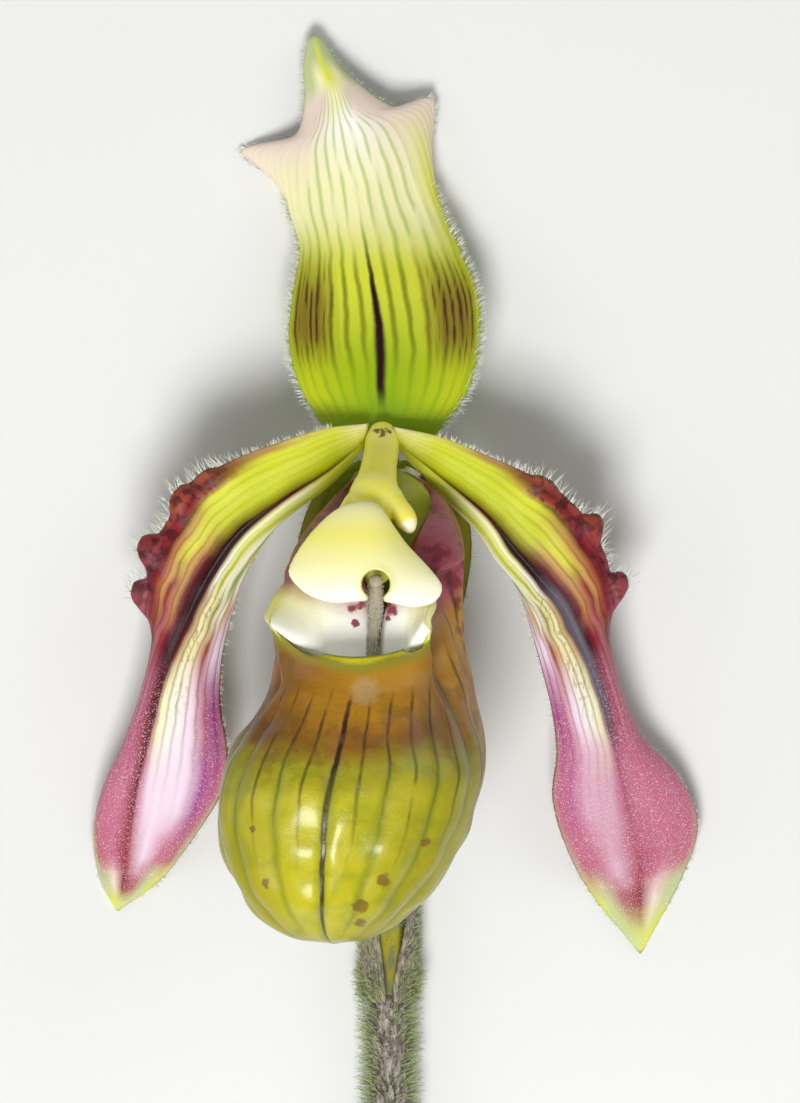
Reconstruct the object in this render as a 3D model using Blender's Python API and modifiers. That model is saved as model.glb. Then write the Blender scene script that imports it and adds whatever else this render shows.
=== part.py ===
"""A cut slipper orchid flower that lies on its back, with its pouch facing up.

Lengths are metres and +Z is up. The sections below are written in millimetres from the
flower's centre, where sepals, petals and lip meet: x to the right, y towards the dorsal
sepal and z up from the surface that the flower lies on.
"""

import math

import bmesh
import bpy
import numpy as np

MM = 0.001
# The flower's centre, seen from above, from the middle of the whole cut flower.
CENTRE_X = -0.0014
CENTRE_Y = 0.0338

BLADE = 0.7  # thickness of sepals, petals and lip
STAMINODE_THICKNESS = 1.1
STEM_END_Y = -108.0
STEM_RADIUS = 1.9
BRACT_THICKNESS = 0.6

COLOURS = {
    "sepal_green": (0.52, 0.60, 0.16, 0.55),
    "petal_rose": (0.55, 0.22, 0.30, 0.5),
    "lip_olive": (0.46, 0.44, 0.05, 0.3),
    "column_yellow": (0.85, 0.80, 0.20, 0.4),
    "shield_cream": (0.90, 0.87, 0.50, 0.35),
    "stem_grey_green": (0.33, 0.32, 0.22, 0.8),
    "bract_green": (0.45, 0.50, 0.15, 0.7),
}

# Sections across the dorsal sepal from its base to its tip. Each runs from the left margin,
# which rolls back under the blade, over the left fold, the mid vein and the right fold to the
# right margin. The seventh section ends in the two horns.
DORSAL_SEPAL = (
    ((-4.0, 1.0, 10.4), (-5.3, 0.6, 12.0), (0.2, 1.4, 12.9), (5.7, 0.6, 12.0), (4.5, 1.0, 10.4)),
    ((-5.4, 4.7, 8.0), (-7.6, 4.4, 10.6), (0.0, 4.6, 12.3), (8.0, 4.2, 10.6), (6.0, 4.6, 8.0)),
    ((-6.2, 9.2, 5.2), (-8.8, 9.1, 8.4), (-0.3, 9.4, 11.0), (9.2, 9.1, 8.4), (6.6, 9.2, 5.2)),
    ((-6.0, 13.6, 3.2), (-8.5, 13.5, 6.6), (-0.8, 13.8, 9.6), (9.0, 13.8, 6.6), (6.8, 13.6, 3.2)),
    ((-6.0, 18.8, 1.4), (-7.8, 18.5, 5.0), (-1.6, 18.6, 8.0), (7.2, 18.4, 5.0), (5.2, 18.8, 1.4)),
    ((-7.6, 23.4, -0.4), (-8.9, 22.7, 3.2), (-2.4, 23.0, 6.6), (5.1, 23.2, 3.6), (3.8, 23.6, -0.4)),
    ((-14.2, 28.3, 0.1), (-9.4, 27.6, 2.8), (-3.7, 29.0, 5.4), (2.6, 30.8, 3.8), (5.3, 33.4, 1.4)),
    ((-8.9, 29.7, 2.0), (-7.2, 30.4, 3.4), (-4.3, 31.9, 4.7), (-1.2, 32.4, 4.2), (1.6, 32.6, 3.0)),
    ((-7.8, 33.5, 2.2), (-6.5, 34.1, 3.0), (-4.9, 34.8, 3.9), (-3.4, 35.0, 3.4), (-2.1, 34.8, 2.7)),
    ((-7.9, 37.0, 2.0), (-7.0, 37.1, 2.5), (-6.1, 37.4, 3.0), (-5.3, 37.4, 2.7), (-4.6, 37.2, 2.3)),
    ((-7.3, 40.0, 1.8), (-7.1, 40.1, 1.9), (-6.9, 40.2, 2.0), (-6.7, 40.1, 1.9), (-6.5, 40.0, 1.8)),
)

# Sections across the joined lower sepals, behind the lip: left edge, middle, right edge.
SYNSEPALUM = (
    ((-2.4, -2.8, 13.3), (0.0, -3.0, 13.3), (2.4, -2.8, 13.3)),
    ((-6.4, -5.6, 12.2), (0.3, -6.4, 12.3), (7.4, -5.8, 12.2)),
    ((-8.6, -12.0, 9.6), (0.3, -12.6, 10.4), (9.4, -11.4, 9.6)),
    ((-8.0, -19.4, 7.2), (0.3, -20.0, 8.6), (8.5, -19.4, 7.2)),
    ((-4.8, -26.4, 5.8), (0.3, -27.0, 7.0), (5.2, -26.4, 5.8)),
    ((-0.2, -31.4, 5.8), (0.3, -31.6, 5.9), (0.8, -31.4, 5.8)),
)

# Sections across a petal from its base to its tip: outer edge, mid groove, inner edge, as x
# and y. The heights below are the same for both petals, whose ends lie flat on the surface.
PETAL_LEFT = (
    ((-1.3, 0.9), (-1.6, -0.6), (-1.9, -2.0)),
    ((-6.2, 0.3), (-5.3, -3.6), (-4.9, -4.2)),
    ((-12.6, -1.8), (-10.2, -6.7), (-9.2, -7.3)),
    ((-17.7, -4.2), (-14.2, -9.8), (-12.1, -11.2)),
    ((-21.2, -8.3), (-16.9, -13.4), (-13.8, -14.6)),
    ((-23.4, -12.6), (-18.6, -16.6), (-14.9, -17.9)),
    ((-23.6, -16.9), (-19.9, -19.6), (-15.6, -20.5)),
    ((-22.6, -20.6), (-21.1, -22.9), (-16.1, -23.4)),
    ((-23.4, -25.6), (-22.4, -27.2), (-16.2, -27.4)),
    ((-25.3, -30.8), (-23.6, -31.6), (-15.5, -31.8)),
    ((-28.0, -35.6), (-24.7, -35.8), (-16.0, -35.9)),
    ((-29.1, -40.2), (-25.3, -40.2), (-18.7, -40.4)),
    ((-28.5, -44.8), (-25.9, -44.4), (-22.3, -45.0)),
    ((-26.9, -48.0), (-26.6, -48.2), (-26.3, -48.0)),
)
PETAL_RIGHT = (
    ((1.0, 0.6), (1.3, -0.8), (1.8, -2.0)),
    ((6.4, -0.6), (5.8, -4.2), (5.1, -4.8)),
    ((11.9, -2.9), (10.4, -8.0), (8.9, -8.6)),
    ((16.4, -5.0), (13.2, -11.5), (11.2, -11.7)),
    ((20.4, -8.4), (15.8, -14.6), (13.2, -14.8)),
    ((22.4, -12.4), (18.0, -17.2), (14.4, -18.0)),
    ((23.2, -16.4), (19.2, -19.8), (15.2, -20.8)),
    ((22.6, -20.0), (20.3, -22.6), (15.9, -23.3)),
    ((23.5, -25.0), (21.9, -27.2), (17.0, -27.8)),
    ((26.0, -30.4), (23.3, -31.9), (17.5, -32.2)),
    ((29.9, -34.6), (24.4, -36.4), (17.1, -36.6)),
    ((31.8, -39.2), (25.2, -41.0), (18.3, -41.2)),
    ((30.4, -44.4), (25.8, -45.8), (20.9, -46.2)),
    ((26.3, -52.2), (26.0, -52.5), (25.7, -52.2)),
)
PETAL_HEIGHTS = (
    (15.3, 15.2, 15.0),
    (15.7, 15.2, 14.2),
    (15.4, 14.6, 13.2),
    (14.8, 13.9, 12.6),
    (13.8, 13.1, 12.3),
    (12.4, 12.3, 11.9),
    (10.4, 11.4, 11.5),
    (7.4, 10.4, 11.0),
    (5.4, 8.9, 9.8),
    (4.4, 7.2, 8.2),
    (3.6, 5.4, 6.0),
    (2.2, 3.4, 3.6),
    (0.2, 0.2, 0.2),
    (0.2, 0.2, 0.2),
)
# Knobbed lobes along a petal's outer edge: place along the edge from 0 to 1, and reach.
LOBES_LEFT = ((0.245, 1.3), (0.335, 1.5), (0.42, 1.7))
LOBES_RIGHT = ((0.225, 1.0), (0.315, 1.3), (0.425, 1.8))
LOBE_HALF_LENGTH = 0.034
RUFFLES = 11.0
RUFFLE_HEIGHT = 0.55
RUFFLE_FROM, RUFFLE_TO = 0.08, 0.52
PETAL_CROWN, PETAL_FLAT_FROM = 0.75, 0.84
KNOB_HEIGHT = 0.6

# The lip from toe to mouth, as y and z of its front and back midlines with its half width.
LIP_FRONT = (
    (-51.1, 26.0), (-50.2, 30.4), (-46.8, 34.4), (-41.4, 36.8), (-35.2, 37.3),
    (-29.6, 35.6), (-25.6, 33.6), (-22.4, 33.2),
)
LIP_BACK = (
    (-51.1, 26.0), (-50.4, 21.8), (-46.6, 17.6), (-40.2, 14.8), (-32.0, 13.7),
    (-22.6, 13.5), (-12.8, 13.8), (-3.6, 14.8),
)
LIP_HALF_WIDTH = (0.0, 4.0, 8.2, 11.5, 12.5, 10.1, 9.0, 9.3)
LIP_BACK_POWER = 0.6
# A crease down each side of the neck sets the front wall off from the side wall behind it.
# The rim rises into a rounded ear on each side, which ends in a tuck, and both ears sit to the
# left. Angles are degrees round the lip from its front.
NECK_PINCH, NECK_PINCH_AT, NECK_PINCH_SPREAD = 0.2, 76.0, 12.0
EAR_FROM, EAR_TO, EAR_EASE, EAR_RISE = 52.0, 88.0, 15.0, 2.2
EAR_SHIFT, EAR_SHIFT_TO = -1.4, 114.0
TUCK, TUCK_AT, TUCK_SPREAD = 0.2, 98.0, 10.0
# The side lobe dips just inside the ear, and the lobes meet to the right of the middle.
VALLEY, VALLEY_AT, VALLEY_SPREAD, VALLEY_PART = 1.2, 74.0, 16.0, 0.18
SLIT_SHIFT = 0.9
# Soft bulges with a groove between them run from the toe to the neck.
POUCH_GROOVES, POUCH_BULGE = 14, 0.45
# The lip leans to the left as it rises, and its toe swings further left.
LIP_LEAN, LIP_UPRIGHT_Z, LIP_LOWEST_LEAN_Z = -0.225, 21.5, 19.0
TOE_SWING, TOE_SWING_FROM_Y = 0.145, -25.0
# Where each side lobe's free edge runs, by the angle round the mouth from the front: x, y, z.
SIDE_LOBE_ANGLES = (52.0, 64.0, 80.0, 102.0, 128.0, 150.0, 168.0, 180.0)
SIDE_LOBE_EDGE = (
    None, (6.4, -22.4, 29.6), (0.5, -24.6, 28.8), (0.75, -16.8, 27.2), (3.0, -11.0, 24.6),
    (4.3, -7.2, 19.4), (2.8, -4.6, 15.8), None,
)
SIDE_LOBE_FOLD = 3.4

# Sections down the staminode, the cream shield over the mouth: left edge, middle, right edge.
STAMINODE = (
    ((-2.2, -7.2, 27.3), (-1.3, -7.0, 27.5), (-0.5, -7.3, 27.4)),
    ((-4.6, -7.8, 27.6), (-1.4, -8.2, 28.6), (0.6, -8.6, 27.9)),
    ((-7.0, -9.9, 27.9), (-1.4, -10.8, 29.8), (2.5, -11.2, 28.3)),
    ((-8.9, -12.6, 28.2), (-1.2, -13.2, 30.5), (4.8, -13.6, 28.6)),
    ((-9.3, -14.4, 28.6), (-0.9, -15.0, 30.6), (6.1, -15.5, 28.9)),
    ((-7.4, -16.3, 29.2), (-0.7, -16.2, 30.4), (5.2, -17.1, 29.3)),
    ((-4.6, -17.2, 29.4), (-0.6, -16.8, 30.0), (3.0, -17.6, 29.5)),
)
KEYHOLE_CENTRE, KEYHOLE_RADIUS = (-0.6, -15.2), 1.25
KEYHOLE_SLOT = 1.5

COLUMN_PATH = (
    (0.0, -1.9, 15.0, 1.15), (-0.2, -3.0, 17.8, 1.25), (-0.5, -4.8, 21.0, 1.8),
    (-0.8, -6.8, 23.6, 2.3), (-1.0, -9.2, 25.2, 1.9), (-1.1, -11.0, 25.6, 1.3),
)
STIGMA_CENTRE, STIGMA_SIZE = (-0.9, -13.0, 24.0), (4.6, 5.0, 1.6)
ANTHER_RIGHT_PATH = (
    (1.7, -7.4, 25.0, 0.55), (2.3, -8.4, 25.5, 1.0), (2.9, -9.5, 25.8, 1.05),
    (3.2, -10.3, 25.9, 0.6),
)
ANTHER_LEFT_PATH = (
    (-3.5, -8.2, 25.0, 0.55), (-4.1, -9.2, 25.4, 1.0), (-4.7, -10.3, 25.7, 1.05),
    (-5.0, -11.1, 25.8, 0.6),
)

OVARY_PATH = (
    (0.7, -57.3, 3.0, 1.4), (0.7, -52.0, 3.0, 1.7), (0.6, -44.0, 3.0, 2.1),
    (0.4, -33.0, 3.0, 2.3), (0.1, -22.0, 3.5, 2.3), (0.0, -13.0, 5.2, 2.1),
    (0.0, -6.5, 8.0, 1.8), (0.0, -2.8, 10.6, 1.6), (0.0, -0.6, 13.9, 1.4),
)
OVARY_RIBS, OVARY_RIB_DEPTH = 6, 0.07
# The stem leaves the joint at the middle of the sheath, then lies on one of its ten sides.
STEM_TOP_Y = -57.7
STEM_LOW_Z = STEM_RADIUS * math.cos(math.pi / 10)
STEM_X, STEM_END_X = 0.7, 2.2
STEM_LEVEL_FROM = 0.55

# The bract's sheath round the ovary's foot, from its joint to its tip under the ovary.
BRACT_FROM_Y, BRACT_TO_Y = -57.4, -38.0
BRACT_RADIUS, BRACT_FOOT_RADIUS = 2.65, 2.25
BRACT_CLOSED, BRACT_OPEN_BY = 172.0, 0.5


def clear_scene():
    for obj in list(bpy.data.objects):
        bpy.data.objects.remove(obj, do_unlink=True)


def make_material(name):
    red, green, blue, roughness = COLOURS[name]
    material = bpy.data.materials.new(name)
    material.use_nodes = True
    shader = material.node_tree.nodes["Principled BSDF"]
    shader.inputs["Base Color"].default_value = (red, green, blue, 1.0)
    shader.inputs["Roughness"].default_value = roughness
    shader.inputs["Metallic"].default_value = 0.0
    return material


def smooth_through(values, place):
    """The point at place, from 0 to 1, of an even smooth curve through the values."""
    values = np.asarray(values, float)
    last = len(values) - 1
    index = min(int(place * last), last - 1)
    part = place * last - index
    before = values[index - 1] if index else 2 * values[0] - values[1]
    after = values[index + 2] if index + 2 <= last else 2 * values[last] - values[last - 1]
    start, end = values[index], values[index + 1]
    return start + 0.5 * part * (
        end - before
        + part * (2 * before - 5 * start + 4 * end - after
                  + part * (3 * (start - end) + after - before))
    )


def smooth_step(low, high, value):
    part = min(max((value - low) / (high - low), 0.0), 1.0)
    return part * part * (3 - 2 * part)


def bump_at(value, centre, half_width):
    return math.exp(-(((value - centre) / half_width) ** 2))


def new_object(name, mesh, material, collection):
    obj = bpy.data.objects.new(name, mesh)
    mesh.materials.append(material)
    collection.objects.link(obj)
    return obj


def grid_object(name, along, across, point_at, material, collection):
    """A grid of triangles whose points follow point_at(place along, place across)."""
    mesh = bpy.data.meshes.new(name)
    grid = bmesh.new()
    bmesh.ops.create_grid(grid, x_segments=along, y_segments=across, size=1.0)
    for vertex in grid.verts:
        place = point_at((vertex.co.x + 1) / 2, (vertex.co.y + 1) / 2)
        vertex.co = [value * MM for value in place]
    bmesh.ops.remove_doubles(grid, verts=grid.verts[:], dist=0.01 * MM)
    bmesh.ops.dissolve_degenerate(grid, dist=0.01 * MM, edges=grid.edges[:])
    bmesh.ops.triangulate(grid, faces=grid.faces[:])
    bmesh.ops.recalc_face_normals(grid, faces=grid.faces[:])
    grid.to_mesh(mesh)
    grid.free()
    mesh.shade_smooth()
    return new_object(name, mesh, material, collection)


def thicken(obj, thickness, offset=0.0):
    solidify = obj.modifiers.new("thickness", "SOLIDIFY")
    solidify.thickness = thickness * MM
    solidify.offset = offset


def section_point(sections, along, across):
    """The point of a blade, between sections along it and between their points across it."""
    rails = np.asarray(sections, float)
    section = [smooth_through(rails[:, column], along) for column in range(rails.shape[1])]
    return smooth_through(section, across)


def blade(name, sections, along, across, relief, material, collection):
    """A thin blade through its sections, raised by relief(along, across) square to its face."""
    step = 0.004

    def point_at(u, v):
        low_u, high_u = max(u - step, 0.0), min(u + step, 1.0)
        low_v, high_v = max(v - step, 0.0), min(v + step, 1.0)
        point = section_point(sections, u, v)
        down = section_point(sections, high_u, v) - section_point(sections, low_u, v)
        over = section_point(sections, u, high_v) - section_point(sections, u, low_v)
        normal = np.cross(down, over)
        size = np.linalg.norm(normal)
        if size > 1e-9:
            point = point + relief(u, v) * normal / size
        point[2] = max(point[2], BLADE / 2)
        return point

    obj = grid_object(name, along, across, point_at, material, collection)
    thicken(obj, BLADE)
    return obj


def petal_sections(outline, lobes):
    """The petal's sections with its lobed outer edge, at a finer spacing than its outline."""
    count = 56
    sections = []
    for index in range(count + 1):
        u = index / count
        rows = np.asarray([
            [(x, y, z) for (x, y), z in zip(section, heights)]
            for section, heights in zip(outline, PETAL_HEIGHTS)
        ])
        outer, groove, inner = (smooth_through(rows[:, column], u) for column in range(3))
        reach = sum(size * bump_at(u, place, LOBE_HALF_LENGTH / 2) for place, size in lobes)
        outwards = outer - groove
        outer = outer + reach * outwards / max(np.linalg.norm(outwards), 1e-6)
        sections.append((outer, groove, inner))
    return sections


def petal(name, outline, lobes, side, material, collection):
    sections = petal_sections(outline, lobes)

    def relief(u, v):
        half = 1 - abs(2 * v - 1)
        taper = smooth_step(0.0, 0.12, u) * smooth_step(PETAL_FLAT_FROM + 0.06, PETAL_FLAT_FROM - 0.06, u)
        crown = PETAL_CROWN * math.sin(math.pi * half) * taper
        ruffled = smooth_step(RUFFLE_FROM, 0.2, u) * smooth_step(RUFFLE_TO, 0.42, u)
        ruffle = RUFFLE_HEIGHT * math.sin(2 * math.pi * RUFFLES * u) * ruffled * max(1 - 3 * v, 0)
        knobs = sum(bump_at(u, place, 0.018) for place, _ in lobes) * bump_at(v, 0.03, 0.06)
        return side * (crown + ruffle + KNOB_HEIGHT * knobs)

    return blade(name, sections, 48, 8, relief, material, collection)


def dorsal_sepal(material, collection):
    def relief(u, v):
        """Five veins as low ribs, deepest at the mid vein."""
        ribs = sum(bump_at(v, place, 0.03) for place in (0.3, 0.4, 0.5, 0.6, 0.7))
        return -0.15 * ribs * smooth_step(0.0, 0.1, u) * smooth_step(1.0, 0.8, u)

    return blade("dorsal_sepal", DORSAL_SEPAL, 30, 14, relief, material, collection)


def lip_centre_x(y, z):
    lean = LIP_LEAN * (max(z, LIP_LOWEST_LEAN_Z) - LIP_UPRIGHT_Z)
    return lean - TOE_SWING * max(0.0, TOE_SWING_FROM_Y - y)


def ear_share(angle, end=EAR_TO):
    return smooth_step(EAR_FROM, EAR_FROM + EAR_EASE, angle) * smooth_step(end, end - EAR_EASE, angle)


def lip_wall(angle, place):
    """The lip's outer wall, upright, at an angle in degrees from the front and from toe to mouth."""
    front_y, front_z = smooth_through(LIP_FRONT, place)
    back_y, back_z = smooth_through(LIP_BACK, place)
    turn = math.radians(angle)
    forward = ((1 + math.cos(turn)) / 2) ** 0.6
    width = smooth_through(LIP_HALF_WIDTH, place)
    near_rim = smooth_step(0.88, 1.0, place)
    pinch = NECK_PINCH * bump_at(angle, NECK_PINCH_AT, NECK_PINCH_SPREAD)
    pinch *= smooth_step(0.62, 0.84, place) * (1 - 0.45 * near_rim)
    tuck = TUCK * bump_at(angle, TUCK_AT, TUCK_SPREAD) * near_rim
    across = max(math.sin(turn), 0.0) ** (LIP_BACK_POWER if angle > 90 else 1.0)
    x = width * (1 - pinch - tuck) * across
    y = back_y + (front_y - back_y) * forward
    z = back_z + (front_z - back_z) * forward + EAR_RISE * ear_share(angle) * near_rim
    return np.array((x, y, z))


def side_lobe_edge(angle):
    """The free edge of the side lobe at an angle round the mouth, upright."""
    angles = SIDE_LOBE_ANGLES
    if angle <= angles[0] or angle >= angles[-1]:
        return lip_wall(angle, 1.0)
    points = [
        lip_wall(at, 1.0) if point is None else np.array(point)
        for at, point in zip(angles, SIDE_LOBE_EDGE)
    ]
    index = next(i for i in range(len(angles) - 1) if angle <= angles[i + 1])
    part = (angle - angles[index]) / (angles[index + 1] - angles[index])
    return smooth_through(points, (index + part) / (len(angles) - 1))


def lip_point(angle, place):
    """place runs from toe to mouth as it goes from 0 to 1, and over the side lobe up to 2."""
    side = -1.0 if angle < 0 else 1.0
    turn = abs(angle)
    part = max(place - 1, 0.0)
    wall = lip_wall(turn, min(place, 1.0))
    edge = side_lobe_edge(turn)
    spread = min(max((turn - SIDE_LOBE_ANGLES[0]) / (180 - SIDE_LOBE_ANGLES[0]), 0), 1)
    fold = wall + np.array((0, 0, SIDE_LOBE_FOLD * math.sin(math.pi * spread)))
    x, y, z = wall * (1 - part) ** 2 + 2 * fold * part * (1 - part) + edge * part ** 2
    folded = smooth_step(SIDE_LOBE_ANGLES[0], SIDE_LOBE_ANGLES[1], turn)
    if part > 0:
        valley = bump_at(turn, VALLEY_AT, VALLEY_SPREAD) * bump_at(part, VALLEY_PART, 0.09)
        z -= VALLEY * valley * folded
    x = x * side + lip_centre_x(y, z)
    x += SLIT_SHIFT * part * smooth_step(64.0, 80.0, turn) * smooth_step(150.0, 115.0, turn)
    faded = 1 - smooth_step(0.3, 1.0, part) * (1.0 if angle < 0 else smooth_step(66.0, 82.0, turn))
    x += EAR_SHIFT * ear_share(turn, EAR_SHIFT_TO) * smooth_step(0.74, 0.94, place) * faded
    return np.array((x, y, z))


def lip(material, collection):
    """The pouch with its side lobes; its outer face bulges between the grooves."""
    wall_rows, lobe_rows = 18, 6
    rows = wall_rows + lobe_rows
    step = 0.004

    def point_at(u, v):
        row = u * rows
        place = row / wall_rows if row <= wall_rows else 1 + (row - wall_rows) / lobe_rows
        angle = 360 * v - 180
        point = lip_point(angle, place)
        bulge = POUCH_BULGE * abs(math.sin(math.pi * POUCH_GROOVES * (v - 0.5))) ** 0.7
        bulge *= smooth_step(0.05, 0.3, place) * smooth_step(0.85, 0.65, place)
        if bulge > 0:
            up = lip_point(angle, place + step) - lip_point(angle, place - step)
            over = lip_point(angle + 1, place) - lip_point(angle - 1, place)
            normal = np.cross(over, up)
            point = point + bulge * normal / np.linalg.norm(normal)
        return point

    obj = grid_object("lip", rows, 4 * POUCH_GROOVES, point_at, material, collection)
    thicken(obj, BLADE, offset=-1.0)
    return obj


def tube_point(path, along, angle, ribs=0, rib_depth=0.0):
    """A point on a round body whose path gives x, y, z and radius; it narrows to rounded ends."""
    x, y, z, radius = smooth_through(path, along)
    step = 0.004
    ahead = smooth_through(path, min(along + step, 1.0))[:3]
    behind = smooth_through(path, max(along - step, 0.0))[:3]
    direction = (ahead - behind) / np.linalg.norm(ahead - behind)
    aside = np.array((1.0, 0.0, 0.0))
    aside = aside - direction * aside.dot(direction)
    aside /= np.linalg.norm(aside)
    up = np.cross(aside, direction)
    radius *= 1 + rib_depth * math.cos(ribs * angle)
    return np.array((x, y, z)) + radius * (math.cos(angle) * aside + math.sin(angle) * up)


def tube(name, path, rows, sides, material, collection, ribs=0, rib_depth=0.0):
    """A closed round body along a path of x, y, z and radius."""
    mesh = bpy.data.meshes.new(name)
    body = bmesh.new()
    bmesh.ops.create_grid(body, x_segments=rows, y_segments=sides, size=1.0)
    for vertex in body.verts:
        angle = math.pi * (vertex.co.y + 1)
        point = tube_point(path, (vertex.co.x + 1) / 2, angle, ribs, rib_depth)
        vertex.co = [value * MM for value in point]
    bmesh.ops.remove_doubles(body, verts=body.verts[:], dist=0.01 * MM)
    bmesh.ops.holes_fill(body, edges=body.edges[:], sides=0)
    bmesh.ops.triangulate(body, faces=body.faces[:])
    bmesh.ops.recalc_face_normals(body, faces=body.faces[:])
    body.to_mesh(mesh)
    body.free()
    mesh.shade_smooth()
    return new_object(name, mesh, material, collection)


def flower_stem(material, collection):
    """The cut stem, a round curve that comes down to the surface and lies along it."""
    curve = bpy.data.curves.new("stem", "CURVE")
    curve.dimensions = "3D"
    curve.bevel_depth = STEM_RADIUS * MM
    curve.bevel_resolution = 3
    curve.use_fill_caps = True
    spline = curve.splines.new("POLY")
    steps = 8
    spline.points.add(steps)
    for index, point in enumerate(spline.points):
        part = index / steps
        x = STEM_X + (STEM_END_X - STEM_X) * part ** 2
        y = STEM_TOP_Y + (STEM_END_Y - STEM_TOP_Y) * part
        joint_z = BRACT_RADIUS + BRACT_THICKNESS / 2
        z = STEM_LOW_Z + (joint_z - STEM_LOW_Z) * smooth_step(STEM_LEVEL_FROM, 0.0, part)
        point.co = (x * MM, y * MM, z * MM, 1.0)
    curve.materials.append(material)
    obj = bpy.data.objects.new("stem", curve)
    collection.objects.link(obj)
    return obj


def cut_with(obj, cutter, operation):
    boolean = obj.modifiers.new(operation.lower(), "BOOLEAN")
    boolean.operation = operation
    boolean.solver = "EXACT"
    boolean.object = cutter


def helper(obj):
    obj.hide_render = True
    obj.display_type = "WIRE"
    return obj


def keyhole_cutter(material, cutters):
    """A round hole with a slot that runs out through the staminode's lower edge."""
    mesh = bpy.data.meshes.new("keyhole_cutter")
    cutter = bmesh.new()
    x, y = KEYHOLE_CENTRE
    height = 28.0
    bmesh.ops.create_cone(
        cutter, cap_ends=True, segments=16, radius1=KEYHOLE_RADIUS * MM,
        radius2=KEYHOLE_RADIUS * MM, depth=10 * MM,
    )
    bmesh.ops.translate(cutter, verts=cutter.verts[:], vec=(x * MM, y * MM, height * MM))
    cutter.to_mesh(mesh)
    cutter.free()
    round_hole = helper(new_object("keyhole_cutter", mesh, material, cutters))
    slot_mesh = bpy.data.meshes.new("keyhole_slot_cutter")
    slot = bmesh.new()
    bmesh.ops.create_cube(slot, size=1.0)
    bmesh.ops.scale(slot, verts=slot.verts[:], vec=(KEYHOLE_SLOT * MM, 4 * MM, 10 * MM))
    place = (x * MM, (y - 2.2) * MM, height * MM)
    bmesh.ops.translate(slot, verts=slot.verts[:], vec=place)
    slot.to_mesh(slot_mesh)
    slot.free()
    slot_cutter = helper(new_object("keyhole_slot_cutter", slot_mesh, material, cutters))
    return round_hole, slot_cutter


def staminode(material, collection, cutters):
    def point_at(u, v):
        return section_point(STAMINODE, u, v)

    obj = grid_object("staminode", 10, 10, point_at, material, collection)
    thicken(obj, STAMINODE_THICKNESS)
    for cutter in keyhole_cutter(material, cutters):
        cut_with(obj, cutter, "DIFFERENCE")
    return obj


def column(material, collection, cutters):
    """The column with the stigma's pad, which faces the lip, grown to its end."""
    obj = tube("column", COLUMN_PATH, 10, 12, material, collection)
    mesh = bpy.data.meshes.new("stigma_pad")
    pad = bmesh.new()
    bmesh.ops.create_uvsphere(pad, u_segments=12, v_segments=6, radius=0.5)
    bmesh.ops.scale(pad, verts=pad.verts[:], vec=[size * MM for size in STIGMA_SIZE])
    bmesh.ops.translate(pad, verts=pad.verts[:], vec=[value * MM for value in STIGMA_CENTRE])
    pad.to_mesh(mesh)
    pad.free()
    cut_with(obj, helper(new_object("stigma_pad", mesh, material, cutters)), "UNION")
    return obj


def bract(material, collection):
    """A sheath that wraps the ovary's foot and opens in a V on its upper side."""
    middle_z = BRACT_RADIUS + BRACT_THICKNESS / 2

    def point_at(u, v):
        opened = smooth_step(0.05, BRACT_OPEN_BY, u)
        pointed = smooth_step(BRACT_OPEN_BY, 1.0, u)
        half_wrap = BRACT_CLOSED - 50.0 * opened - 116.0 * pointed
        angle = math.radians(half_wrap * (2 * v - 1))
        y = BRACT_FROM_Y + (BRACT_TO_Y - BRACT_FROM_Y) * u
        radius = BRACT_RADIUS - (BRACT_RADIUS - BRACT_FOOT_RADIUS) * smooth_step(0.2, 0.0, u)
        return STEM_X + radius * math.sin(angle), y, middle_z - radius * math.cos(angle)

    obj = grid_object("bract", 12, 14, point_at, material, collection)
    thicken(obj, BRACT_THICKNESS)
    return obj


def build():
    clear_scene()
    collection = bpy.data.collections.new("slipper_orchid_flower")
    cutters = bpy.data.collections.new("cutters")
    bpy.context.scene.collection.children.link(collection)
    bpy.context.scene.collection.children.link(cutters)
    material = {name: make_material(name) for name in COLOURS}

    flower_stem(material["stem_grey_green"], collection)
    tube("ovary", OVARY_PATH, 20, 18, material["stem_grey_green"], collection,
         OVARY_RIBS, OVARY_RIB_DEPTH)
    bract(material["bract_green"], collection)
    dorsal_sepal(material["sepal_green"], collection)
    blade("synsepalum", SYNSEPALUM, 14, 8, lambda u, v: 0.0, material["sepal_green"], collection)
    petal("petal_left", PETAL_LEFT, LOBES_LEFT, 1, material["petal_rose"], collection)
    petal("petal_right", PETAL_RIGHT, LOBES_RIGHT, -1, material["petal_rose"], collection)
    lip(material["lip_olive"], collection)
    column(material["column_yellow"], collection, cutters)
    staminode(material["shield_cream"], collection, cutters)
    tube("anther_left", ANTHER_LEFT_PATH, 6, 10, material["column_yellow"], collection)
    tube("anther_right", ANTHER_RIGHT_PATH, 6, 10, material["column_yellow"], collection)

    frame = bpy.data.objects.new("flower_centre", None)
    frame.location = (CENTRE_X, CENTRE_Y, 0.0)
    bpy.context.scene.collection.objects.link(frame)
    for obj in list(collection.objects) + list(cutters.objects):
        obj.parent = frame


build()
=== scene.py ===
import bmesh
import bpy
import numpy as np
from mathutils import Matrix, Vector, noise


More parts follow.
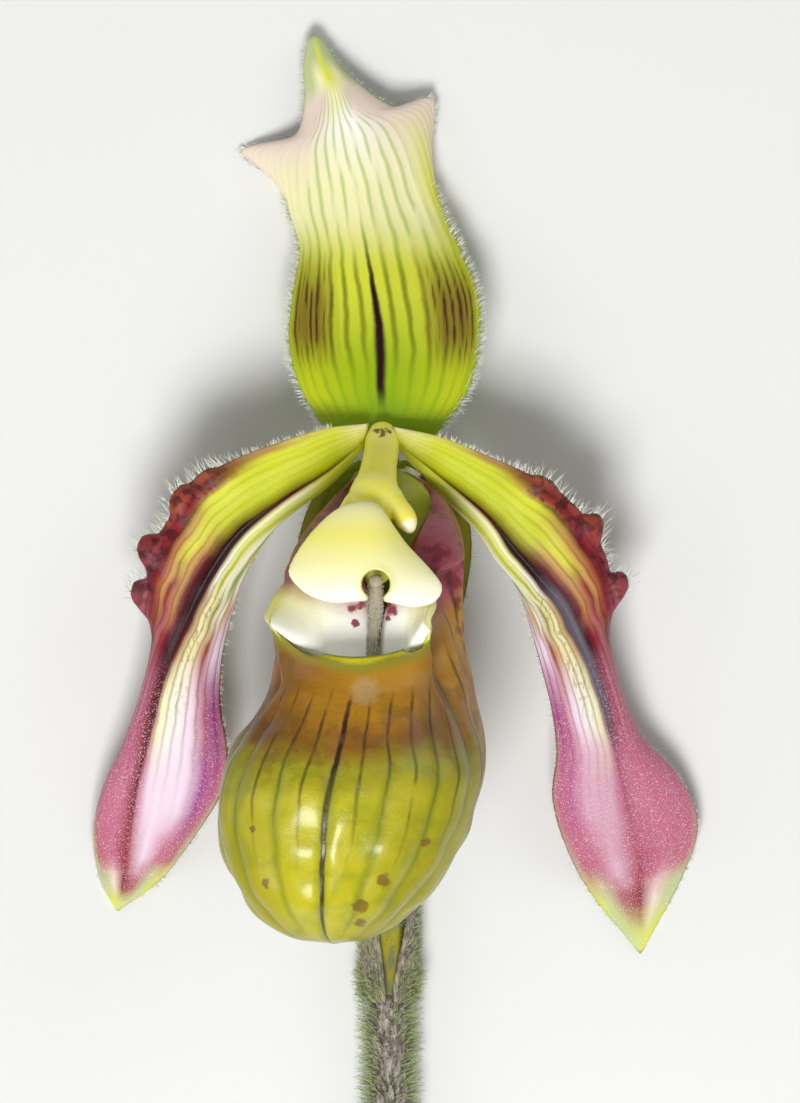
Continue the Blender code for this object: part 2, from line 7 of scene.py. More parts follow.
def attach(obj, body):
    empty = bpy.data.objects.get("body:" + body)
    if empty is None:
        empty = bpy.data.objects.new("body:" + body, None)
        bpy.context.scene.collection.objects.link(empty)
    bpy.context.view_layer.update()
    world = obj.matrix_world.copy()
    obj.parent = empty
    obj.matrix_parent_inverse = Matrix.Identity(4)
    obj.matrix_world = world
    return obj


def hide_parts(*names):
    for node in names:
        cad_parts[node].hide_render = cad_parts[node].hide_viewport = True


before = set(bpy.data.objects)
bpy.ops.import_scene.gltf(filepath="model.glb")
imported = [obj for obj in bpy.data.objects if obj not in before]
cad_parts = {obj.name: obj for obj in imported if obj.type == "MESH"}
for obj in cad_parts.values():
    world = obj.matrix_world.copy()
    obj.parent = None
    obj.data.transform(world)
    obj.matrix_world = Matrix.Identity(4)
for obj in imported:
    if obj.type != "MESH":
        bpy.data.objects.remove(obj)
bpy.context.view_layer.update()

RANDOM = np.random.default_rng(5)
MM = 0.001
CENTRE = np.array((-0.0014, 0.0338, 0.0))
BLADE = 0.7
MERGED = 0.004 * MM

# The photograph's frame: 0.1 mm of the flower to a pixel, with the flower's centre at a pixel.
PHOTO_HEIGHT = 1103
PIXEL = 0.1 * MM
PHOTO_MIDDLE = (400.0, 551.5)
CENTRE_PIXEL = (382.0, 432.0)
CAMERA_RISE, FLOWER_LEVEL, SENSOR = 2.52, 0.02, 36.0

# The studio: each light's name, place, size in metres and power in watts.
LIGHTS = (
    ("key", (-0.06, -0.36, 0.72), 0.3, 5.9),
    ("left_fill", (-0.7, 0.1, 0.45), 0.6, 1.2),
    ("right_fill", (0.6, 0.4, 0.5), 0.6, 1.2),
)
ROOM_COLOUR, ROOM_STRENGTH = (0.9, 0.92, 0.95, 1.0), 0.28
FLOOR_COLOUR, FLOOR_HALF_SIZE = (0.78, 0.78, 0.76, 1.0), 2.0

# The petals and sepals, as sections from the foot to the tip, each from margin to margin.
DORSAL_SEPAL = (
    ((-3.2, -0.6, 10.6), (-4.2, -0.8, 11.8), (0.1, -0.4, 12.6), (4.4, -0.8, 11.8), (3.4, -0.6, 10.6)),
    ((-5.4, 4.7, 8.0), (-7.6, 4.4, 10.6), (0.0, 4.6, 12.3), (8.0, 4.2, 10.6), (6.0, 4.6, 8.0)),
    ((-6.2, 9.2, 5.2), (-8.8, 9.1, 8.4), (-0.3, 9.4, 11.0), (9.2, 9.1, 8.4), (6.6, 9.2, 5.2)),
    ((-6.0, 13.6, 3.2), (-8.5, 13.5, 6.6), (-0.8, 13.8, 9.6), (9.0, 13.8, 6.6), (6.8, 13.6, 3.2)),
    ((-6.0, 18.8, 1.4), (-7.8, 18.5, 5.0), (-1.6, 18.6, 8.0), (7.2, 18.4, 5.0), (5.2, 18.8, 1.4)),
    ((-7.6, 23.4, -0.4), (-8.9, 22.7, 3.2), (-2.4, 23.0, 6.6), (5.1, 23.2, 3.6), (3.8, 23.6, -0.4)),
    ((-14.2, 28.3, 0.1), (-9.4, 27.6, 2.8), (-3.7, 29.0, 5.4), (2.6, 30.8, 3.8), (5.3, 33.4, 1.4)),
    ((-8.9, 29.7, 2.0), (-7.2, 30.4, 3.4), (-4.3, 31.9, 4.7), (-1.2, 32.4, 4.2), (1.6, 32.6, 3.0)),
    ((-7.8, 33.5, 2.2), (-6.5, 34.1, 3.0), (-4.9, 34.8, 3.9), (-3.4, 35.0, 3.4), (-2.1, 34.8, 2.7)),
    ((-7.9, 37.0, 2.0), (-7.0, 37.1, 2.5), (-6.1, 37.4, 3.0), (-5.3, 37.4, 2.7), (-4.6, 37.2, 2.3)),
    ((-7.3, 40.0, 1.8), (-7.1, 40.1, 1.9), (-6.9, 40.2, 2.0), (-6.7, 40.1, 1.9), (-6.5, 40.0, 1.8)),
)
SYNSEPALUM = (
    ((-2.4, -2.8, 13.3), (0.0, -3.0, 13.3), (2.4, -2.8, 13.3)),
    ((-6.4, -5.6, 12.2), (0.3, -6.4, 12.3), (7.4, -5.8, 12.2)),
    ((-8.6, -12.0, 9.6), (0.3, -12.6, 10.4), (9.0, -11.4, 9.6)),
    ((-8.0, -19.4, 7.2), (0.3, -20.0, 8.6), (7.6, -19.4, 7.2)),
    ((-4.8, -26.4, 5.8), (0.3, -27.0, 7.0), (5.2, -26.4, 5.8)),
    ((-0.2, -31.4, 5.8), (0.3, -31.6, 5.9), (0.8, -31.4, 5.8)),
)
PETAL_LEFT = (
    ((-1.3, 0.9), (-1.6, -0.6), (-1.9, -2.0)),
    ((-6.2, 0.3), (-5.3, -3.6), (-4.9, -4.2)),
    ((-12.6, -1.8), (-10.2, -6.7), (-9.2, -7.3)),
    ((-17.7, -4.2), (-14.2, -9.8), (-12.1, -11.2)),
    ((-21.2, -8.3), (-16.9, -13.4), (-13.8, -14.6)),
    ((-23.4, -12.6), (-18.6, -16.6), (-14.9, -17.9)),
    ((-23.6, -16.9), (-19.9, -19.6), (-15.6, -20.5)),
    ((-22.6, -20.6), (-21.1, -22.9), (-16.1, -23.4)),
    ((-23.4, -25.6), (-22.4, -27.2), (-16.2, -27.4)),
    ((-25.3, -30.8), (-23.6, -31.6), (-15.5, -31.8)),
    ((-28.0, -35.6), (-24.7, -35.8), (-16.0, -35.9)),
    ((-29.1, -40.2), (-25.3, -40.2), (-18.7, -40.4)),
    ((-28.5, -44.8), (-25.9, -44.4), (-22.3, -45.0)),
    ((-26.9, -48.0), (-26.6, -48.2), (-26.3, -48.0)),
)
PETAL_RIGHT = (
    ((1.0, 0.6), (1.3, -0.8), (1.8, -2.0)),
    ((6.4, -0.6), (5.8, -4.2), (5.1, -4.8)),
    ((11.9, -2.9), (10.4, -8.0), (8.9, -8.6)),
    ((16.4, -5.0), (13.2, -11.5), (11.2, -11.7)),
    ((20.4, -8.4), (15.8, -14.6), (13.2, -14.8)),
    ((22.4, -12.4), (18.0, -17.2), (14.4, -18.0)),
    ((23.2, -16.4), (19.2, -19.8), (15.2, -20.8)),
    ((22.6, -20.0), (20.3, -22.6), (15.9, -23.3)),
    ((23.5, -25.0), (21.9, -27.2), (17.0, -27.8)),
    ((26.0, -30.4), (23.3, -31.9), (17.5, -32.2)),
    ((29.9, -34.6), (24.4, -36.4), (17.1, -36.6)),
    ((31.8, -39.2), (25.2, -41.0), (18.3, -41.2)),
    ((30.4, -44.4), (25.8, -45.8), (20.9, -46.2)),
    ((26.3, -52.2), (26.0, -52.5), (25.7, -52.2)),
)
# The heights that both petals share, section by section.
PETAL_HEIGHTS = (
    (15.3, 15.2, 15.0),
    (15.7, 15.2, 14.2),
    (15.4, 14.6, 13.2),
    (14.8, 13.9, 12.6),
    (13.8, 13.1, 12.3),
    (12.4, 12.3, 11.9),
    (10.4, 11.4, 11.5),
    (7.4, 10.4, 11.0),
    (5.4, 8.9, 9.8),
    (4.4, 7.2, 8.2),
    (3.6, 5.4, 6.0),
    (2.2, 3.4, 3.6),
    (0.2, 0.2, 0.2),
    (0.2, 0.2, 0.2),
)
# The lobes on the petals' outer edges, each a place along and a reach.
LOBES_LEFT = ((0.235, 0.5), (0.28, 1.2), (0.37, 1.5), (0.45, 1.5))
LOBES_RIGHT = ((0.23, 0.5), (0.33, 1.3), (0.445, 1.7))
LOBE_HALF_LENGTH = 0.021
RUFFLES, RUFFLE_HEIGHT = 11.0, 0.4
RUFFLE_FROM, RUFFLE_TO = 0.08, 0.52
PETAL_CROWN, PETAL_FLAT_FROM, PETAL_ROWS = 0.75, 0.84, 113
PETAL_RIBS, PETAL_RIB, KNOB_HEIGHT = 10, 0.03, 0.8
SEPAL_RIBS, SEPAL_RIB = 26, 0.05

# The lip: the profile of its front and back from toe to mouth, each a y and a z.
LIP_FRONT = (
    (-51.1, 26.0), (-50.2, 30.4), (-46.8, 34.4), (-41.4, 36.8), (-35.2, 37.3),
    (-29.6, 35.6), (-25.6, 33.6), (-22.4, 33.2),
)
LIP_BACK = (
    (-51.1, 26.0), (-50.4, 21.8), (-46.6, 17.6), (-40.2, 14.8), (-32.0, 13.7),
    (-22.6, 13.5), (-12.8, 13.8), (-3.6, 14.8),
)
LIP_HALF_WIDTH = (0.0, 4.0, 8.2, 11.5, 12.5, 10.1, 9.0, 9.3)
LIP_FRONT_POWER, LIP_BACK_POWER = 0.6, 0.6
NECK_PINCH, NECK_PINCH_AT, NECK_PINCH_SPREAD = 0.2, 76.0, 12.0
EAR_FROM, EAR_TO, EAR_EASE, EAR_RISE = 52.0, 88.0, 15.0, 2.2
EAR_SHIFT, EAR_SHIFT_TO = -1.4, 114.0
TUCK, TUCK_AT, TUCK_SPREAD = 0.2, 98.0, 10.0
VALLEY, VALLEY_AT, VALLEY_SPREAD, VALLEY_PART = 1.2, 74.0, 16.0, 0.18
POUCH_GROOVES, POUCH_BULGE = 14, 0.45
LUMP_SIZE, LUMP_HEIGHT, CREASE_DEPTH = 3.6, 0.45, 0.25
SLIT_SHIFT = 0.9
LIP_LEAN, LIP_UPRIGHT_Z, LIP_LOWEST_LEAN_Z = -0.225, 21.5, 19.0
TOE_SWING, TOE_SWING_FROM_Y = 0.145, -25.0
SIDE_LOBE_ANGLES = (52.0, 64.0, 80.0, 102.0, 128.0, 150.0, 168.0, 180.0)
SIDE_LOBE_EDGE = (
    None, (6.4, -22.4, 29.6), (0.5, -24.6, 28.8), (0.75, -16.8, 27.2), (3.0, -11.0, 24.6),
    (4.3, -7.2, 19.4), (2.8, -4.6, 15.8), None,
)
SIDE_LOBE_FOLD = 3.4
EAR_BOXES = (
    ((-13.0, -22.4, 26.5), (-6.0, -13.0, 36.0)),
    ((2.4, -22.4, 26.5), (8.8, -13.0, 36.0)),
)
SOFTENED_TIMES = 40

# The shield, the seam under it, and the round parts with their paths of x, y, z and radius.
STAMINODE = (
    ((-2.2, -7.2, 27.3), (-1.3, -7.0, 27.5), (-0.5, -7.3, 27.4)),
    ((-4.6, -7.8, 27.6), (-1.4, -8.2, 28.6), (0.6, -8.6, 27.9)),
    ((-7.0, -9.9, 27.9), (-1.4, -10.8, 29.8), (2.5, -11.2, 28.3)),
    ((-8.9, -12.6, 28.2), (-1.2, -13.2, 30.5), (4.8, -13.6, 28.6)),
    ((-9.3, -14.4, 28.6), (-0.9, -15.0, 30.6), (6.1, -15.5, 28.9)),
    ((-7.4, -16.3, 29.2), (-0.7, -16.2, 30.4), (5.2, -17.1, 29.3)),
    ((-4.6, -17.2, 29.4), (-0.6, -16.8, 30.0), (3.0, -17.6, 29.5)),
)
KEYHOLE_CENTRE, KEYHOLE_RADIUS = (-0.6, -15.2), 1.25
KEYHOLE_SLOT, KEYHOLE_Z, KEYHOLE_DEPTH = 1.5, 28.0, 10
SHIELD_HALF_THICKNESS = 0.6
SEAM = (
    ((-1.1, -14.6, 27.2), (-0.6, -14.6, 27.5), (-0.1, -14.6, 27.2)),
    ((-1.4, -17.6, 27.3), (-0.6, -17.6, 27.5), (0.2, -17.6, 27.3)),
    ((-1.35, -20.4, 27.9), (-0.85, -20.4, 28.2), (-0.35, -20.4, 27.9)),
    ((-1.4, -23.6, 28.2), (-1.05, -23.6, 28.4), (-0.7, -23.6, 28.2)),
)
SEAM_KNOB, SEAM_KNOB_RADIUS = (-0.6, -14.9, 28.4), 0.72
SEAM_CROWN, SEAM_HALF_THICKNESS = 0.15, 0.2
ROUND = {"u_segments": 24, "v_segments": 12}
COLUMN_PATH = (
    (0.0, 0.8, 13.9, 1.0), (0.0, -0.8, 15.0, 1.7), (-0.1, -2.2, 16.6, 1.75), (-0.3, -3.4, 18.6, 1.8),
    (-0.5, -4.8, 21.0, 2.0), (-0.8, -6.8, 23.6, 2.6), (-1.0, -9.2, 25.2, 1.9), (-1.1, -11.0, 25.6, 1.3),
)
STIGMA_CENTRE, STIGMA_SIZE = (-0.9, -13.0, 24.0), (4.6, 5.0, 1.6)
ANTHER_RIGHT_PATH = (
    (0.6, -5.6, 23.2, 1.1), (1.5, -7.2, 24.8, 1.0), (2.2, -8.3, 25.5, 1.1), (2.6, -9.2, 25.8, 1.0),
    (2.9, -10.2, 25.9, 0.35),
)
ANTHER_LEFT_PATH = (
    (-2.4, -6.4, 23.2, 1.1), (-3.5, -8.0, 24.8, 0.9), (-4.1, -9.2, 25.4, 1.0), (-4.7, -10.3, 25.7, 0.9),
    (-5.0, -11.1, 25.8, 0.4),
)
OVARY_PATH = (
    (0.7, -57.3, 3.0, 1.4), (0.7, -52.0, 3.0, 1.7), (0.6, -44.0, 3.0, 2.1),
    (0.4, -33.0, 3.0, 2.3), (0.1, -22.0, 3.5, 2.3), (0.0, -13.0, 5.2, 2.1),
    (0.0, -6.5, 8.0, 1.8), (0.0, -2.8, 10.6, 1.6), (0.0, -0.6, 13.9, 1.4),
)
OVARY_RIBS, OVARY_RIB_DEPTH = 6, 0.07
STEM_END_Y, STEM_RADIUS, STEM_TOP_Y = -108.0, 1.9, -56.4
STEM_X, STEM_END_X, STEM_LEVEL_FROM = 0.7, 2.2, 0.55
BRACT_FROM_Y, BRACT_TO_Y = -57.4, -38.0
BRACT_RADIUS, BRACT_FOOT_RADIUS, BRACT_THICKNESS = 2.65, 2.25, 0.6
BRACT_MIDDLE_Z = BRACT_RADIUS + BRACT_THICKNESS / 2
BRACT_CLOSED, BRACT_OPEN_BY = 172.0, 0.5
BRACT_OPENS, BRACT_NARROWS, BRACT_TURNS = 26.0, 140.0, 8.0

# Colours of the living flower, and of the sheen painted on its petals, as sRGB.
COLOURS = {
    "leaf_green": "#7C9E08", "yellow_green": "#BCC412", "lime": "#D6DA3C", "olive": "#857C14",
    "ivory": "#F6F2DC", "cream": "#F3EFB4", "white": "#FFFDF4", "blush": "#EAD6C6",
    "lilac_white": "#E9D2E2", "rose": "#BC6680", "rose_purple": "#A04C8C", "dusty_rose": "#AE6468",
    "maroon": "#641018", "dark_maroon": "#24060C", "wine": "#8A2230", "brick": "#A04A34",
    "orange_brown": "#AC7A0C", "brown": "#6A4210", "dark_brown": "#34200A", "tan": "#C6A878",
    "amber": "#C08E4C", "slate": "#6E6A78", "mouse_grey": "#ACA280", "butter": "#F4EC74",
    "lemon": "#FAF048", "pale_green": "#BCC78C", "hair_white": "#F0F2E4", "hair_green": "#B2BC88",
    "stem_purple": "#6E6262", "stem_green": "#74764C", "pouch_olive": "#9A920C",
    "pouch_yellow": "#BCB412", "pouch_green": "#6E7A0C", "pink_maroon": "#94404E", "beige": "#B49460",
    "neck_brown": "#8A5A0C", "bark_brown": "#4A1A10", "leaf": "#8CAE0A", "stone": "#B4A8A0",
    "sheath_grey": "#A49C80",
}

# Each skin's ramps across the piece, by their place along it: a ramp's stops are place and colour.
PETAL_RAMPS = {
    0.0: "0 cream, 0.3 butter, 0.5 yellow_green, 0.7 lime, 1 cream",
    0.07: "0 butter, 0.12 lime, 0.4 yellow_green, 0.48 olive, 0.54 maroon, 0.58 lime, 0.8 yellow_green, "
          "1 cream",
    0.14: "0 tan, 0.05 amber, 0.1 lime, 0.35 yellow_green, 0.44 olive, 0.48 dark_maroon, 0.55 maroon, "
          "0.59 cream, 0.7 yellow_green, 0.78 cream, 0.86 yellow_green, 1 cream",
    0.23: "0 brick, 0.06 maroon, 0.1 brick, 0.15 lime, 0.34 yellow_green, 0.41 olive, 0.46 dark_maroon, "
          "0.56 dark_maroon, 0.6 cream, 0.68 yellow_green, 0.76 ivory, 0.86 yellow_green, 0.93 cream, "
          "1 cream",
    0.31: "0 brick, 0.08 wine, 0.13 maroon, 0.18 amber, 0.26 lime, 0.34 amber, 0.4 maroon, "
          "0.45 dark_maroon, 0.57 dark_maroon, 0.61 ivory, 0.68 yellow_green, 0.75 ivory, "
          "0.84 leaf_green, 0.9 ivory, 1 lilac_white",
    0.39: "0 pink_maroon, 0.1 maroon, 0.16 brick, 0.21 amber, 0.26 wine, 0.32 amber, 0.38 maroon, "
          "0.44 dark_maroon, 0.56 dark_maroon, 0.61 tan, 0.68 cream, 0.75 olive, 0.82 ivory, 0.89 tan, "
          "1 lilac_white",
    0.5: "0 dusty_rose, 0.1 pink_maroon, 0.2 maroon, 0.26 dusty_rose, 0.34 wine, 0.41 dark_maroon, "
         "0.5 dark_maroon, 0.55 maroon, 0.6 tan, 0.68 cream, 0.76 tan, 0.82 brick, 0.88 lilac_white, "
         "1 lilac_white",
    # The lilac-white stops on the rosy blade, from here to the tip, are partly the petal's pale tint and
    # partly a painted sheen.
    0.62: "0 rose, 0.2 dusty_rose, 0.36 rose, 0.45 maroon, 0.49 dark_maroon, 0.53 wine, 0.57 cream, "
          "0.66 ivory, 0.78 lilac_white, 0.86 rose, 0.93 rose_purple, 1 rose",
    0.77: "0 pale_green, 0.03 rose, 0.38 rose, 0.48 wine, 0.5 dark_maroon, 0.53 rose, 0.6 lilac_white, "
          "0.78 lilac_white, 0.87 rose_purple, 0.96 rose, 1 pale_green",
    0.88: "0 pale_green, 0.07 dusty_rose, 0.3 rose, 0.48 wine, 0.52 dusty_rose, 0.66 lilac_white, "
          "0.8 rose, 0.92 dusty_rose, 1 pale_green",
    0.94: "0 pale_green, 0.14 pale_green, 0.3 blush, 0.48 wine, 0.7 dusty_rose, 0.85 pale_green, 1 lime",
    0.985: "0 lime, 1 pale_green",
}
SEPAL_RAMPS = {
    0.0: "0 leaf_green, 1 leaf_green",
    0.1: "0 leaf, 0.3 yellow_green, 0.5 leaf, 0.7 yellow_green, 1 leaf",
    0.34: "0 yellow_green, 0.22 yellow_green, 0.4 lime, 0.6 lime, 0.78 yellow_green, 1 yellow_green",
    0.5: "0 blush, 0.25 cream, 0.5 cream, 0.68 cream, 0.76 lime, 1 blush",
    0.66: "0 blush, 0.3 blush, 0.44 ivory, 0.56 white, 0.7 blush, 1 blush",
    0.76: "0 pale_green, 0.1 blush, 0.36 blush, 0.5 cream, 0.64 blush, 0.9 blush, 1 pale_green",
    0.84: "0 pale_green, 0.2 pale_green, 0.36 cream, 0.5 lime, 0.64 cream, 0.8 pale_green, 1 pale_green",
    0.93: "0 pale_green, 0.42 pale_green, 0.5 lime, 0.58 pale_green, 1 pale_green",
    1.0: "0 pale_green, 1 pale_green",
}
GREEN_SEPAL_RAMPS = {
    0.0: "0 leaf_green, 0.5 yellow_green, 1 leaf_green",
    0.35: "0 olive, 0.5 leaf_green, 1 olive",
    0.6: "0 pouch_green, 0.5 olive, 1 pouch_green",
}
POUCH_RAMPS = {
    0.0: "0 pouch_olive, 0.5 pouch_olive, 1 pouch_olive",
    0.12: "0 pouch_olive, 0.36 pouch_olive, 0.46 pouch_yellow, 0.56 pouch_yellow, 0.66 pouch_olive, "
          "1 pouch_olive",
    0.26: "0 pouch_green, 0.33 pouch_olive, 0.5 pouch_yellow, 0.67 pouch_olive, 1 pouch_green",
    0.3: "0 olive, 0.3 olive, 0.4 pouch_olive, 0.6 pouch_olive, 0.7 olive, 1 olive",
    0.34: "0 orange_brown, 0.27 brown, 0.36 brown, 0.43 neck_brown, 0.57 neck_brown, 0.64 brown, "
          "0.73 neck_brown, 0.78 orange_brown, 1 orange_brown",
    0.39: "0 orange_brown, 0.26 neck_brown, 0.36 neck_brown, 0.46 orange_brown, 0.58 orange_brown, "
          "0.66 neck_brown, 0.74 orange_brown, 1 orange_brown",
    0.45: "0 orange_brown, 0.15 neck_brown, 0.3 brown, 0.42 neck_brown, 0.5 orange_brown, "
          "0.6 orange_brown, 0.7 brown, 0.8 orange_brown, 1 orange_brown",
    0.485: "0 blush, 0.08 pink_maroon, 0.24 pink_maroon, 0.3 olive, 0.5 olive, 0.7 olive, "
           "0.76 pink_maroon, 0.96 pink_maroon, 1 blush",
    0.5: "0 blush, 0.08 pink_maroon, 0.23 pink_maroon, 0.27 butter, 0.31 cream, 0.34 pouch_olive, "
         "0.5 pouch_yellow, 0.66 pouch_olive, 0.69 cream, 0.73 cream, 0.77 pink_maroon, 0.97 pink_maroon, "
         "1 blush",
    0.6: "0 blush, 0.05 pink_maroon, 0.225 pink_maroon, 0.255 butter, 0.33 cream, 0.67 cream, "
         "0.74 butter, 0.78 pink_maroon, 0.96 pink_maroon, 1 blush",
    0.72: "0 blush, 0.05 pink_maroon, 0.21 pink_maroon, 0.245 cream, 0.32 white, 0.67 white, 0.75 cream, "
          "0.79 pink_maroon, 0.96 pink_maroon, 1 blush",
    0.95: "0 blush, 0.06 pink_maroon, 0.2 pink_maroon, 0.24 white, 0.76 white, 0.8 pink_maroon, "
          "0.95 pink_maroon, 1 blush",
}


def linear(name):
    """A colour's linear value, from its sRGB hex value."""
    text = COLOURS[name].lstrip("#")
    parts = [int(text[at:at + 2], 16) / 255 for at in (0, 2, 4)]
    return [p / 12.92 if p <= 0.04045 else ((p + 0.055) / 1.055) ** 2.4 for p in parts] + [1.0]


def smooth_through(values, places):
    """The points at places, from 0 to 1, of an even smooth curve through the values."""
    values, places = np.asarray(values, float), np.asarray(places, float)
    last = len(values) - 1
    points = np.concatenate(([2 * values[0] - values[1]], values, [2 * values[-1] - values[-2]]))
    index = np.clip((places * last).astype(int), 0, last - 1)
    part = (places * last - index).reshape(places.shape + (1,) * (values.ndim - 1))
    before, start, end, after = (points[index + step] for step in range(4))
    return start + 0.5 * part * (
        end - before
        + part * (2 * before - 5 * start + 4 * end - after
                  + part * (3 * (start - end) + after - before))
    )


def smooth_step(low, high, value):
    part = np.clip((np.asarray(value, float) - low) / (high - low), 0.0, 1.0)
    return part * part * (3 - 2 * part)


def window(value, low, full, fall, end):
    """Rises smoothly from 0 at low to 1 at full, and falls again from 1 at fall to 0 at end."""
    return smooth_step(low, full, value) * smooth_step(end, fall, value)


def bump_at(value, centre, half_width):
    return np.exp(-(((value - centre) / half_width) ** 2))


def rounded(place, power):
    """1 in the middle of the way from 0 to 1, and rounded off to 0 at both ends."""
    return np.sqrt(np.clip(1 - np.abs(2 * place - 1) ** power, 0, 1))


def unit(vectors, least=1e-12):
    return vectors / np.maximum(np.linalg.norm(vectors, axis=-1, keepdims=True), least)


def in_world(point):
    return np.asarray(point, float) * MM + CENTRE


def lattice(along, across):
    """Even places along and across a sheet, from 0 to 1, as two grids."""
    return np.meshgrid(np.linspace(0, 1, along + 1), np.linspace(0, 1, across + 1), indexing="ij")


def square_to(points):
    """The directions square to a grid of points, turned up."""
    normals = unit(np.cross(np.gradient(points, axis=0), np.gradient(points, axis=1)))
    return -normals if normals[..., 2].mean() < 0 else normals


def folded_body(points, normals, half_thickness, around=False, marks=None):
    """A closed body round a sheet: its grid runs over the face and back under it.

    around folds it at the end of the first direction and closes it in the second. Its UV map
    "place" holds the places along and across, the latter from marks where given, and its
    attribute "face" is 0 on the far face.
    """
    if around:
        points, normals = points.transpose(1, 0, 2), normals.transpose(1, 0, 2)
        half_thickness = half_thickness.T
    rows, columns = points.shape[0] - 1, points.shape[1] - 1
    body = bmesh.new()
    uv = body.loops.layers.uv.new("place")
    face_side = body.verts.layers.float.new("face")
    bmesh.ops.create_grid(body, x_segments=rows, y_segments=2 * columns, size=1.0)
    places = {}
    for index, vertex in enumerate(body.verts):
        fold, row = divmod(index, rows + 1)
        upper = fold <= columns
        column = fold if upper else 2 * columns - fold
        offset = normals[row, column] * half_thickness[row, column] * (1 if upper else -1)
        vertex.co = in_world(points[row, column] + offset)
        vertex[face_side] = 1.0 if upper else 0.0
        places[index] = (row / rows, column / columns if marks is None else marks[row, column])
    for face in body.faces:
        for loop in face.loops:
            row, column = places[loop.vert.index]
            loop[uv].uv = (column, row) if around else (row, column)
    bmesh.ops.remove_doubles(body, verts=body.verts[:], dist=MERGED)
    bmesh.ops.dissolve_degenerate(body, dist=MERGED, edges=body.edges[:])
    return body


def shaped(kind, at, stretch=(1.0, 1.0, 1.0), **settings):
    """A simple body, stretched about its middle and set at a point in the flower's millimetres."""
    body = bmesh.new()
    getattr(bmesh.ops, "create_" + kind)(body, **settings)
    bmesh.ops.scale(body, verts=body.verts[:], vec=stretch)
    bmesh.ops.translate(body, verts=body.verts[:], vec=in_world(at))
    return body


def soften(body, low, high):
    """Smooths the part of a body that lies in a box, so that tight folds don't crease."""
    low, high = in_world(low), in_world(high)
    inside = [vertex for vertex in body.verts
              if all(start <= at <= end for start, at, end in zip(low, vertex.co, high))]
    for _ in range(SOFTENED_TIMES):
        bmesh.ops.smooth_vert(body, verts=inside, factor=0.5, use_axis_x=True, use_axis_y=True,
                              use_axis_z=True)


def in_scene(name, body):
    """A body as an object of the scene."""
    mesh = bpy.data.meshes.new(name)
    body.to_mesh(mesh)
    body.free()
    made = bpy.data.objects.new(name, mesh)
    bpy.context.scene.collection.objects.link(made)
    return made


def piece(name, body, material, slot, *nodes):
    """A finished piece of the flower, which stands for the nodes named."""
    bmesh.ops.recalc_face_normals(body, faces=body.faces[:])
    made = in_scene(name, body)
    made.data.shade_smooth()
    made.data.materials.append(material)
    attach(made, "root")
    if nodes:
        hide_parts(*nodes)


# Materials


def per_metre(size_in_mm):
    """The texture scale that gives features of a size in millimetres."""
    return 1000.0 / size_in_mm


def start_material(name, roughness, ior=1.4, **sockets):
    """A Principled material with the settings that are the same all over it."""
    material = bpy.data.materials.new(name)
    material.use_nodes = True
    shader = material.node_tree.nodes["Principled BSDF"]
    for socket, value in {"Roughness": roughness, "IOR": ior, **sockets}.items():
        shader.inputs[socket.replace("_", " ")].default_value = value
    return material, shader


